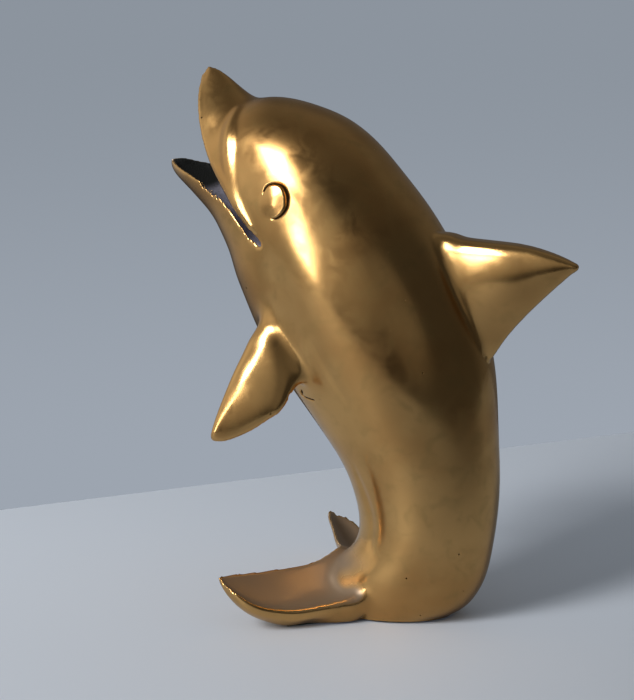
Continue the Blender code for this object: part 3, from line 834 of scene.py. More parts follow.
    def measure_depth(self, outer: BVHTree, mouth: Piece) -> None:
        """Keep how deep each point lies below the trunk's surface, in the mouth alone.

        Args:
            outer: The trunk's surface.
            mouth: The solid that the mouth is cut with.
        """
        points = read_points(self.skin.data)
        self.depth = np.zeros(len(points))
        for index in near_box(points, read_points(mouth.data), self.mouth_margin):
            place, normal, _, distance = outer.find_nearest(points[index])
            under = (place - Vector(points[index])).dot(normal) > 0
            self.depth[index] = distance if under else 0.0
        around = Neighbours(self.edges(), len(points))
        for _ in range(self.depth_blur):
            self.depth = (self.depth + around.mean(self.depth)) / 2

    def edges(self) -> np.ndarray:
        """Give the skin's edges as pairs of points."""
        return read_rows(self.skin.data.edges, "vertices", np.int64, 2)

    def smooth(self, weights: np.ndarray, rounds: int, kept: bool = False) -> None:
        """Move points towards the mean of their neighbours.

        Args:
            weights: The share of the way that each point goes, from 0 to 1.
            rounds: How often.
            kept: Whether each round is followed by one back, so that only ripples go.
        """
        pairs = self.edges()
        used = weights > 0
        around = Neighbours(pairs[used[pairs].any(axis=1)], len(weights))
        points = read_points(self.skin.data)
        share = (weights * used)[:, None]
        for _ in range(rounds):
            for step in (SHRINK, SWELL) if kept else (SHRINK,):
                points += step * share * (around.mean(points) - points)
        write_points(self.skin.data, points)

    def smooth_all(self, exact: BVHTree) -> None:
        """Smooth the skin: least at the lips, and most where blades grow from the trunk.

        Args:
            exact: The surface of the lofts, on which lips and rims are settled again.
        """
        points = read_points(self.skin.data)
        rows = smooth_rows(MOUTH[1:-1], self.mouth_steps)
        paths = [np.stack([rows[:, first] + STATION_ORIGIN_X, side.value * rows[:, 4],
                           rows[:, first + 1]], axis=1) for side in Side for first in (0, 2)]
        lips = nearest_of(points, paths, 2 * self.lip_reach)
        broad = soft_step(self.lip_reach, 2 * self.lip_reach, lips)
        self.smooth(np.ones(len(points)), self.lip_smoothing, kept=True)
        self.smooth(broad, self.smoothing, kept=True)
        close = soft_step(self.lip_reach, self.lip_reach / 2, lips)
        self.settle(exact, close)
        self.smooth(close, self.lip_rounding)
        rows = smooth_rows(FLUKE, self.blade_steps)
        paths = [rows[:, first:first + 3] * (1, side.value, 1) + (STATION_ORIGIN_X, 0, 0)
                 for side in Side for first in (0, 3)]
        rims = nearest_of(points, paths, 3 * self.rim_radius)
        close = soft_step(3 * self.rim_radius, 2 * self.rim_radius, rims)
        self.settle(exact, close)
        self.smooth(close, self.rim_rounding)
        for blending in self.blendings:
            reach = blending.reach * MM
            for side in blending.sides:
                gap = nearest_of(points, [mirrored(blending.path, side)], reach)
                self.smooth(soft_step(reach, 0, gap) * broad, blending.rounds)

    def refine(self) -> None:
        """Divide the faces where fine strokes are cut, and round them again."""
        for stroke in self.refined:
            reach = max(stroke.widths) * MM
            for side in stroke.sides:
                path = mirrored(stroke.path, side)
                gap = nearest_of(read_points(self.skin.data), [path], reach)
                mesh = bmesh.new()
                mesh.from_mesh(self.skin.data)
                layer = mesh.verts.layers.float.new("depth")
                for vertex, depth in zip(mesh.verts, self.depth):
                    vertex[layer] = depth
                mesh.verts.ensure_lookup_table()
                chosen = {mesh.verts[item] for item in np.nonzero(gap < reach)[0]}
                edges = [edge for edge in mesh.edges
                         if edge.verts[0] in chosen and edge.verts[1] in chosen]
                bmesh.ops.subdivide_edges(mesh, edges=edges, cuts=1, use_grid_fill=True)
                self.depth = np.array([vertex[layer] for vertex in mesh.verts])
                mesh.verts.layers.float.remove(layer)
                mesh.to_mesh(self.skin.data)
                mesh.free()
                gap = nearest_of(read_points(self.skin.data), [path], reach)
                self.smooth(soft_step(reach, self.refined_core * reach, gap),
                            self.refined_rounding)

    def draw(self, stroke: Stroke) -> None:
        """Press one stroke into the skin, or raise it.

        Args:
            stroke: The stroke, which is drawn on each of its sides.
        """
        data = self.skin.data
        points, normals = read_points(data), read_normals(data)
        widest = max(stroke.widths) * MM
        for side in stroke.sides:
            path = mirrored(stroke.path, side)
            if len(path) > 2:
                path = smooth_rows(path, self.stroke_steps)
            index = near_box(points, path, widest + self.stroke_margin)
            path = np.array([points[index[np.argmin(((points[index] - place) ** 2).sum(axis=1))]]
                             for place in path])
            for _ in range(self.stroke_rounding):
                path[1:-1] = (path[:-2] + 2 * path[1:-1] + path[2:]) / 4
            gap, place = distance_along(points[index], path)
            ticks = np.linspace(0, 1, len(stroke.widths))
            half = np.interp(place, ticks, stroke.widths) * MM / 2
            depth = stroke.height * MM * np.minimum(half / (widest / 2), 1)
            fall = soft_step(1.0, 1.0 - max(stroke.softness, self.least_softness),
                             gap / np.maximum(half, MERGE))
            points[index] += normals[index] * (depth * fall)[:, None]
            write_points(data, points)
            if stroke.polish:
                weights = np.zeros(len(points))
                weights[index] = soft_step(widest, widest / 2, gap)
                self.smooth(weights, stroke.polish)
                points = read_points(data)

    def bend_for_wear_and_shade(self) -> np.ndarray:
        """Measure how convex the skin is.

        Returns:
            The bend at each point, in parts of a 1 mm edge round.
        """
        data = self.skin.data
        points, normals = read_points(data), read_normals(data)
        around = Neighbours(self.edges(), len(points))
        mean = around.mean(points)
        step = np.sqrt(around.mean(np.sum(points ** 2, axis=1))
                       - 2 * np.sum(points * mean, axis=1) + np.sum(points ** 2, axis=1))
        bend = -2 * np.sum((mean - points) * normals, axis=1) / np.maximum(step, MERGE) ** 2
        for _ in range(self.bend_blur):
            bend = (bend + around.mean(bend)) / 2
        return np.clip(bend * MM, -1, 1)


@dataclass
class Castings:
    """The cast pieces, parted from the fine form along their joints.

    A point within a share of a voxel from the skin takes its normal from the nearest points there,
    and a face takes them on all its corners, or on none where it faces another way.
    """

    form: FineForm
    proud: float = 0.0007
    dorsal_box: tuple[Place, Place] = ((0.0150, -0.0400, 0.1300), (0.1500, 0.0400, 0.2150))
    pectoral_box: tuple[Place, Place] = ((-0.0800, 0.0280, 0.0850), (-0.0050, 0.0800, 0.1720))
    fluke_box: tuple[Place, Place] = ((-0.0800, 0.0000, -0.0200), (0.0350, 0.0800, 0.0420))
    sharp_angle: float = math.radians(40)
    skin_gap: float = 0.8
    nearest: int = 4
    least_facing: float = 0.5
    pieces: dict[str, Piece] = field(default_factory=dict, init=False)

    def __post_init__(self) -> None:
        """Measure the form once for all pieces."""
        data = self.form.skin.data
        self.normals = read_normals(data)
        self.wear_and_crease_shade = self.form.bend_for_wear_and_shade()
        self.tree = KDTree(len(data.vertices))
        for index, vertex in enumerate(data.vertices):
            self.tree.insert(vertex.co, index)
        self.tree.balance()
        self.core = loft("core", self.form.trunk_rings(self.proud))

    def half_space(self, side: Side) -> Piece:
        """Make a block that holds one side of the figurine."""
        return block("half", Vector((0, side.value * FAR / 2, FAR / 4)),
                     Vector((2 * FAR, FAR, 2 * FAR)))

    def jaw_space(self) -> Piece:
        """Make the space that parts the lower jaw from the throat and the beak.

        Returns:
            The closed solid, which runs through the middle of the open mouth.
        """
        middles = [at((row[0] + row[2]) / 2, 0, (row[1] + row[3]) / 2) for row in MOUTH[1:-1]]
        outer = at(JAW_JOINT_OUTSIDE[0], 0, JAW_JOINT_OUTSIDE[1])
        beyond = at(MOUTH[-1][2], 0, MOUTH[-1][3])
        front = Vector((beyond.x, 0, outer.z))
        outline = [middles[0], outer, front, beyond] + middles[:0:-1]
        across = Vector((0, FAR / 2, 0))
        return prism("jaw_space", [point - across / 2 for point in outline], across)

    def space(self, box: tuple[Place, Place], side: Side = Side.RIGHT) -> Piece:
        """Make a block round a fin or fluke, hollowed where the trunk and its joint lie.

        Args:
            box: The block's lowest and highest corners on the right side.
            side: The side that it is for.

        Returns:
            The block, which ends just proud of the trunk.
        """
        first, last = map(Vector, box)
        first.y, last.y = first.y * side.value, last.y * side.value
        piece = block("space", (first + last) / 2, Vector(map(abs, last - first)))
        return carve(piece, (Cut.AWAY, self.core))

    def part(self, name: str, *cuts: tuple[Cut, Piece]) -> None:
        """Part one casting from the skin and carry the skin's own normals over to it.

        Args:
            name: The CAD node that the casting stands for.
            cuts: The Booleans that leave it.
        """
        piece = carve(copied(f"{name}_casting", self.form.skin), *cuts)
        self.carry(piece)
        self.pieces[name] = piece
        LOG.info("%s: %d faces", name, len(piece.data.polygons))

    def carry(self, piece: Piece) -> None:
        """Give a casting the skin's normals, bend and depth, so that its joints are flush.

        Args:
            piece: The casting. Its cut faces, off the skin, keep their own normals.
        """
        data = piece.data
        count = len(data.vertices)
        normals = np.zeros((count, 3))
        wear_and_crease_shade, depth, outer = np.zeros(count), np.ones(count), np.zeros(count, dtype=bool)
        for index, vertex in enumerate(data.vertices):
            _, match, gap = self.tree.find(vertex.co)
            if gap > self.form.voxel * self.skin_gap:
                continue
            outer[index] = True
            wear_and_crease_shade[index], depth[index] = self.wear_and_crease_shade[match], self.form.depth[match]
            if gap < MERGE:
                normals[index] = self.normals[match]
                continue
            near = self.tree.find_n(vertex.co, self.nearest)
            shares = np.array([1 / max(item[2], MERGE) for item in near])
            mixed = (self.normals[[item[1] for item in near]] * shares[:, None]).sum(axis=0)
            normals[index] = mixed / np.linalg.norm(mixed)
        data.shade_smooth()
        data.set_sharp_from_angle(angle=self.sharp_angle)
        corners = read_rows(data.loops, "vertex_index", np.int64, 1).ravel()
        sizes = read_rows(data.polygons, "loop_total", np.int64, 1).ravel()
        owner = np.repeat(np.arange(len(sizes)), sizes)
        faces = read_rows(data.polygons, "normal", np.float32)[owner]
        fits = np.sum(normals[corners] * faces, axis=1) > self.least_facing
        whole = np.bincount(owner, weights=outer[corners] & fits, minlength=len(sizes)) == sizes
        chosen = np.where(whole[owner][:, None], normals[corners], 0.0)
        for name, values in (("wear_and_crease_shade", wear_and_crease_shade), ("depth", depth)):
            attribute = data.attributes.new(name, "FLOAT", "POINT")
            attribute.data.foreach_set("value", values.astype(np.float32))
        data.normals_split_custom_set(chosen.tolist())

    def build(self) -> None:
        """Part every casting."""
        below = block("below_foot", Vector((0, 0, FOOT - FAR / 2)),
                      Vector((2 * FAR, 2 * FAR, FAR)))
        carve(self.form.skin, (Cut.AWAY, below))
        hollow = loft("hollow", self.form.trunk_rings(-WALL, HOLLOW_END))
        jaw = self.jaw_space()
        dorsal = self.space(self.dorsal_box)
        self.part("lower_jaw", (Cut.WITHIN, jaw))
        self.part("dorsal_fin", (Cut.WITHIN, dorsal))
        cutters = [hollow, jaw, dorsal]
        for side in Side:
            name = side.name.lower()
            half = self.half_space(side)
            pectoral = self.space(self.pectoral_box, side)
            fluke = self.space(self.fluke_box, side)
            self.part(f"{name}_pectoral_fin", (Cut.WITHIN, pectoral))
            self.part(f"{name}_fluke", (Cut.WITHIN, fluke))
            away = [(Cut.AWAY, cutter) for cutter in cutters + [pectoral, fluke]]
            self.part(f"{name}_body_shell", (Cut.WITHIN, half), *away)
            discard(half, pectoral, fluke)
        discard(below, self.form.skin, self.core, *cutters)

    def dress(self, brass: bpy.types.Material) -> None:
        """Give every casting its finish and its body, and hide the CAD node that it stands for.

        Args:
            brass: The finish.
        """
        for name, piece in self.pieces.items():
            piece.data.materials.clear()
            piece.data.materials.append(brass)
            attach(piece, "root")
            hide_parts(name)


def colour(hex_code: str) -> tuple[float, ...]:
    """Turn an sRGB hex value into a linear colour.

    Args:
        hex_code: The value, with its leading hash.

    Returns:
        Red, green, blue and full alpha.
    """
    parts = [int(hex_code[start:start + 2], 16) / 255 for start in (1, 3, 5)]
    linear = [part / 12.92 if part <= 0.04045 else ((part + 0.055) / 1.055) ** 2.4
              for part in parts]
    return (*linear, 1.0)


def add_node(tree: bpy.types.NodeTree, kind: str, inputs: dict | Sequence = (),
             **settings: object) -> bpy.types.Node:
    """Add a shader node with its settings and links.

    Args:
        tree: The node tree of a material or a world.
        kind: The node's type without its ShaderNode prefix.
        inputs: For each input, by name or number or in their order, its value, the socket that
            is linked to it, or the node whose first output in use is.
        settings: The node's own settings.

    Returns:
        The new node.
    """
    node = tree.nodes.new(f"ShaderNode{kind}")
    for name, value in settings.items():
        setattr(node, name, value)
    for key, value in inputs.items() if isinstance(inputs, dict) else enumerate(inputs):
        if isinstance(value, bpy.types.Node):
            value = next(output for output in value.outputs if output.enabled)
        if isinstance(value, Socket):
            tree.links.new(value, node.inputs[key])
        else:
            node.inputs[key].default_value = value
    return node


def new_tree(holder: bpy.types.Material | bpy.types.World) -> bpy.types.NodeTree:
    """Empty the node tree of a material or a world.

    Args:
        holder: The material or the world.

    Returns:
        Its tree.
    """
    holder.use_nodes = True
    holder.node_tree.nodes.clear()
    return holder.node_tree


# In the finishes below, a range is a value's low and high, and what they turn into if that isn't
# 0 and 1. A pattern is the size of its patches in millimetres, its detail and its distortion.


@dataclass(frozen=True)
class CastBrass:
    """Yellow brass, sand cast, filed and polished, then tarnished on a shelf.

    It gives the eye long mirrored streaks, blurred by fine scratches, warm brown where the air has
    dulled it, small black pits where gas was trapped, and bright worn ridges. Creases and pits are
    darkened partly by grime and partly by painted shade, and the as-cast mouth is painted
    near-black, as oxide and as painted shade.
    """

    name: str = "polished_cast_brass"
    bright: str = "#E4B573"
    brown: str = "#A8733C"
    olive: str = "#A48B56"
    # The dark of creases and pits: partly real grime, partly painted shade.
    grime_and_shade: str = "#2E2114"
    # The mouth's inside: as-cast oxide, painted near-black for the shade there as well.
    mouth_oxide_and_shade: str = "#161815"
    grey_oxide: str = "#C4BFCE"
    brown_oxide: str = "#957E65"
    cloud: Place = (42.0, 2.0, 0.3)
    stain: Place = (9.0, 4.0, 0.6)
    speck: Place = (1.2, 5.0, 0.0)
    crowd: Place = (60.0, 1.0, 0.0)
    scratch: Place = (0.5, 3.0, 0.0)
    grain: Place = (0.9, 4.0, 0.0)
    browned: Row = (0.35, 0.70, 0.0, 0.45)
    stained: Row = (0.45, 0.80, 0.0, 0.35)
    worn: Row = (0.02, 0.16, 0.0, 0.6)
    grooved: Row = (-0.06, -0.30)
    # How far pits darken: partly real grime, partly painted shade in the hollow.
    pit_darkening: float = 0.9
    mouth_inside: Row = (0.0006, 0.0014)
    throat_reach: Row = (-0.092, -0.084)
    throat_height: Row = (0.236, 0.224)
    throat_specks: Row = (0.35, 0.6, 0.5, 1.0)
    dish_level: Row = (0.15, 0.55)
    dish_height: Row = (0.040, 0.026)
    dish_wear: Row = (0.30, 0.08)
    rough: Row = (0.15, 0.4, 0.16, 0.26)
    dull_rough: float = 0.7
    dish_rough: float = 0.42
    mouth_metal: Row = (0.0, 1.0, 1.0, 0.1)
    dish_metal: float = 0.5
    pit_cell: float = 5.0
    pit_crowding: Row = (0.45, 0.7, 0.10, 0.0)
    pit_size: Row = (0.72, 1.0, 0.0, 0.13)
    pit_edge: Row = (-0.02, 0.01)
    pit_depth: float = 0.35
    scratch_turn: Place = (0.5, 0.4, 0.3)
    scratch_stretch: Place = (1.0, 1.0, 0.06)
    scratch_depth: float = 0.004
    grain_depth: float = 0.6

    def build(self) -> bpy.types.Material:
        """Make the material.

        Returns:
            The material, whose layers lie on the bare metal in the order in which they came.
            The dark of its creases, pits and mouth is partly painted shade.
        """
        material = bpy.data.materials.new(self.name)
        node = partial(add_node, new_tree(material))
        place = node("TexCoord").outputs["Object"]
        forward, _, height = node("SeparateXYZ", (place,)).outputs
        up = node("SeparateXYZ", (node("NewGeometry").outputs["Normal"],)).outputs["Z"]
        wear_and_crease_shade, depth = (node("Attribute", attribute_name=name).outputs["Fac"]
                       for name in ("wear_and_crease_shade", "depth"))
        clouds, stains, specks, crowd, grains = (
            node("TexNoise", {"Vector": place, "Scale": 1 / (size * MM), "Detail": detail,
                              "Distortion": warp})
            for size, detail, warp in (self.cloud, self.stain, self.speck, self.crowd, self.grain))
        # Concave creases turn to the dark grime colour: partly real grime, partly painted shade.
        browned, stained, worn, crease_grime_and_shade, rim, dish = (
            node("MapRange", (value, *ends), **SOFT)
            for value, ends in ((clouds, self.browned), (stains, self.stained), (wear_and_crease_shade, self.worn),
                                (wear_and_crease_shade, self.grooved), (depth, self.mouth_inside),
                                (up, self.dish_level)))
        throat = rim
        for value, ends in ((forward, self.throat_reach), (height, self.throat_height),
                            (specks, self.throat_specks)):
            share = node("MapRange", (value, *ends), **SOFT)
            throat = node("Math", (throat, share), operation="MULTIPLY")
        for value, ends in ((height, self.dish_height), (wear_and_crease_shade, self.dish_wear)):
            share = node("MapRange", (value, *ends), **SOFT)
            dish = node("Math", (dish, share), operation="MULTIPLY")
        pits = self.pits(node, place, crowd)
        # Pits take the grime colour: partly real grime, partly painted shade in the hollow.
        pit_grime_and_shade = node("Math", (pits, self.pit_darkening), operation="MULTIPLY")
        base = colour(self.bright)
        # The mask rim is the mouth's inside, which turns near-black: as-cast oxide and painted
        # shade.
        for share, tint in ((browned, self.brown), (stained, self.olive), (worn, self.bright),
                            (crease_grime_and_shade, self.grime_and_shade), (pit_grime_and_shade, self.grime_and_shade), (rim, self.mouth_oxide_and_shade),
                            (throat, self.grey_oxide), (dish, self.brown_oxide)):
            base = node("Mix", {0: share, 6: base, 7: colour(tint)}, data_type="RGBA")
        dulled = node("Math", (node("Math", (rim, crease_grime_and_shade), operation="MAXIMUM"), pits),
                      operation="MAXIMUM")
        patches = node("Math", (clouds, stains), operation="MULTIPLY")
        rough = node("MapRange", (patches, *self.rough), **SOFT)
        for share, roughness in ((dulled, self.dull_rough), (dish, self.dish_rough)):
            rough = node("Mix", {0: share, 2: rough, 3: roughness})
        metal = node("Mix", {0: dish, 2: node("MapRange", (rim, *self.mouth_metal), **SOFT),
                             3: self.dish_metal})
        shader = node("BsdfPrincipled", {
            "Base Color": base, "Metallic": metal, "Roughness": rough,
            "Normal": self.relief(node, place, grains, pits, rim)})
        node("OutputMaterial", {"Surface": shader})
        return material

    def pits(self, node: Adder, place: Socket, crowd: bpy.types.Node) -> bpy.types.Node:
        """Scatter gas pits of 0.2 to 1 mm.

        Args:
            node: Adds a node to the material.
            place: The place on the piece.
            crowd: The pattern of the places that have most of them.

        Returns:
            1 in a pit and 0 between them.
        """
        cells = node("TexVoronoi", {"Vector": place, "Scale": 1 / (self.pit_cell * MM)})
        chance = node("SeparateColor", (cells.outputs["Color"],))
        size, fewer = (node("MapRange", (value, *ends), **SOFT)
                       for value, ends in ((chance, self.pit_size), (crowd, self.pit_crowding)))
        radius = node("Math", (size, fewer), operation="SUBTRACT")
        inside = node("Math", (radius, cells.outputs["Distance"]), operation="SUBTRACT")
        return node("MapRange", (inside, *self.pit_edge), **SOFT)

    def relief(self, node: Adder, place: Socket, grains: bpy.types.Node, pits: bpy.types.Node,
               cast: bpy.types.Node) -> bpy.types.Node:
        """Raise scratches and the rough cast mouth, and sink the pits.

        Args:
            node: Adds a node to the material.
            place: The place on the piece.
            grains: The pattern of the casting sand.
            pits: 1 in a pit.
            cast: 1 where the sand's grain was left.

        Returns:
            The bump for the shader.
        """
        size, detail, warp = self.scratch
        stretched = node("Mapping", {"Vector": place, "Rotation": self.scratch_turn,
                                     "Scale": self.scratch_stretch})
        scratches = node("TexNoise", {"Vector": stretched, "Scale": 1 / (size * MM),
                                      "Detail": detail, "Distortion": warp})
        fine = node("Bump", {"Height": scratches, "Distance": self.scratch_depth * MM})
        grain = node("Bump", {"Height": grains, "Distance": self.grain_depth * MM,
                              "Strength": cast, "Normal": fine})
        return node("Bump", {"Height": pits, "Distance": self.pit_depth * MM, "Normal": grain},
                    invert=True)


@dataclass(frozen=True)
class RolledBrass:
    """Brass plate and drawn rod, left as the mill made it.

    It gives the eye straight fine lines and a soft, even shine.
    """

    name: str = "rolled_brass"
    bright: str = "#DDB874"
    dull: str = "#A9854C"
    line: float = 0.35
    spot: float = 6.0
    drawn: Place = (0.03, 1.0, 1.0)
    dulled: Row = (0.4, 0.65)
    rough: Row = (0.3, 0.7, 0.28, 0.42)
    line_depth: float = 0.01

    def build(self) -> bpy.types.Material:
        """Make the material.

        Returns:
            The material, with its lines along x.
        """
        material = bpy.data.materials.new(self.name)
        node = partial(add_node, new_tree(material))
        place = node("TexCoord").outputs["Object"]
        drawn = node("Mapping", {"Vector": place, "Scale": self.drawn})
        lines = node("TexNoise", {"Vector": drawn, "Scale": 1 / (self.line * MM), "Detail": 4.0})
        spots = node("TexNoise", {"Vector": place, "Scale": 1 / (self.spot * MM), "Detail": 3.0})
        share = node("MapRange", (spots, *self.dulled), **SOFT)
        shader = node("BsdfPrincipled", {
            "Base Color": node("Mix", {0: share, 6: colour(self.bright), 7: colour(self.dull)},
                               data_type="RGBA"),
            "Metallic": 1.0, "Roughness": node("MapRange", (lines, *self.rough), **SOFT),
            "Normal": node("Bump", {"Height": lines, "Distance": self.line_depth * MM})})
        node("OutputMaterial", {"Surface": shader})
        return material


@dataclass(frozen=True)
class WoolFelt:
    """Dark green wool felt, pressed from short fibres.

    It gives the eye a matt, mottled surface with a soft pale fuzz at grazing angles.
    """

    name: str = "felt"
    deep: str = "#16261B"
    worn: str = "#2C4232"
    fibre: float = 0.25
    tuft: float = 2.5
    faded: Row = (0.75, 1.3)
    rough: Row = (0.3, 0.7, 0.88, 1.0)
    fuzz: float = 0.4
    fibre_depth: float = 0.15

    def build(self) -> bpy.types.Material:
        """Make the material.

        Returns:
            The material, with fibres that lie every way.
        """
        material = bpy.data.materials.new(self.name)
        node = partial(add_node, new_tree(material))
        place = node("TexCoord").outputs["Object"]
        fibres = node("TexNoise", {"Vector": place, "Scale": 1 / (self.fibre * MM), "Detail": 5.0,
                                   "Distortion": 1.5})
        tufts = node("TexNoise", {"Vector": place, "Scale": 1 / (self.tuft * MM), "Detail": 3.0})
        both = node("Math", (fibres, tufts), operation="ADD")
        share = node("MapRange", (both, *self.faded), **SOFT)
        shader = node("BsdfPrincipled", {
            "Base Color": node("Mix", {0: share, 6: colour(self.deep), 7: colour(self.worn)},
                               data_type="RGBA"),
            "Roughness": node("MapRange", (tufts, *self.rough), **SOFT), "Sheen Weight": self.fuzz,
            "Normal": node("Bump", {"Height": fibres, "Distance": self.fibre_depth * MM})})
        node("OutputMaterial", {"Surface": shader})
        return material


@dataclass
class FeltPad:
    """The felt under the foot, with a soft worn edge."""

    node: str = "felt_pad"
    edge_round: float = 0.0004
    edge_steps: int = 2
    flat_angle: float = math.radians(1)
    rim_angle: float = math.radians(60)
    sharp_angle: float = math.radians(40)

    def build(self) -> Piece:
        """Copy the CAD pad, merge its triangles and round its edges.

        Returns:
            The pad.
        """
        mesh = bmesh.new()
        mesh.from_mesh(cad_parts[self.node].data)
        bmesh.ops.remove_doubles(mesh, verts=mesh.verts, dist=MERGE)
        bmesh.ops.dissolve_limit(mesh, verts=mesh.verts, edges=mesh.edges,
                                 angle_limit=self.flat_angle)
        rims = [edge for edge in mesh.edges if edge.calc_face_angle(0) > self.rim_angle]
        bmesh.ops.bevel(mesh, geom=rims, offset=self.edge_round, affect="EDGES",
                        segments=self.edge_steps, profile=0.5, material=-1)
        bmesh.ops.recalc_face_normals(mesh, faces=mesh.faces)
        piece = to_object(f"{self.node}_cloth", mesh)
        piece.data.shade_smooth()
        piece.data.set_sharp_from_angle(angle=self.sharp_angle)
        LOG.info("%s: %d faces", self.node, len(piece.data.polygons))
        return piece

    def dress(self, pad: Piece, felt: bpy.types.Material) -> None:
        """Give the pad its finish and its body, and hide the CAD node that it stands for.

        Args:
            pad: The pad.
            felt: The finish.
        """
        pad.data.materials.append(felt)
        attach(pad, "root")
        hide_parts("felt_pad")


@dataclass(frozen=True)
class HiddenPieces:
    """The plate that closes the foot and the dowels, which are kept from the CAD model."""

    nodes: tuple[str, ...] = ("back_dowel", "base_plate", "chest_dowel", "crown_dowel",
                              "left_jaw_dowel", "right_jaw_dowel", "stock_dowel")

    def dress(self, brass: bpy.types.Material) -> None:
        """Give them their finish.

        Args:
            brass: The finish.
        """
        for name in self.nodes:
            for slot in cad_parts[name].material_slots:
                slot.material = brass
            LOG.info("%s: kept from the CAD model", name)


@dataclass(frozen=True)
class Lamp:
    """A soft lamp at a turn to the right of the camera and a rise, both in degrees."""

    name: str
    turn: float
    rise: float
    width: float
    height: float
    radiance: float
    roll: float = 0.0
    distance: float = 2.4

    def build(self, aim: Vector, camera_turn: float) -> None:
        """Hang the lamp and point it at the object.

        Args:
            aim: The middle of the object.
            camera_turn: The camera's own turn, in degrees.
        """
        data = bpy.data.lights.new(self.name, "AREA")
        data.shape = "RECTANGLE"
        data.size, data.size_y = self.width, self.height
        data.energy = self.radiance * math.pi * self.width * self.height
        lamp = bpy.data.objects.new(self.name, data)
        bpy.context.scene.collection.objects.link(lamp)
        back = towards(camera_turn + self.turn, self.rise)
        lamp.location = aim + back * self.distance
        rolled = Euler((0, 0, math.radians(self.roll))).to_quaternion()
        lamp.rotation_euler = (back.to_track_quat("Z", "Y") @ rolled).to_euler()
        lamp.visible_camera = False


def towards(turn: float, rise: float) -> Vector:
    """Give the direction at a turn from -Y towards +X and a rise, both in degrees."""
    turn, rise = math.radians(turn), math.radians(rise)
    return Vector((math.sin(turn) * math.cos(rise), -math.cos(turn) * math.cos(rise),
                   math.sin(rise)))


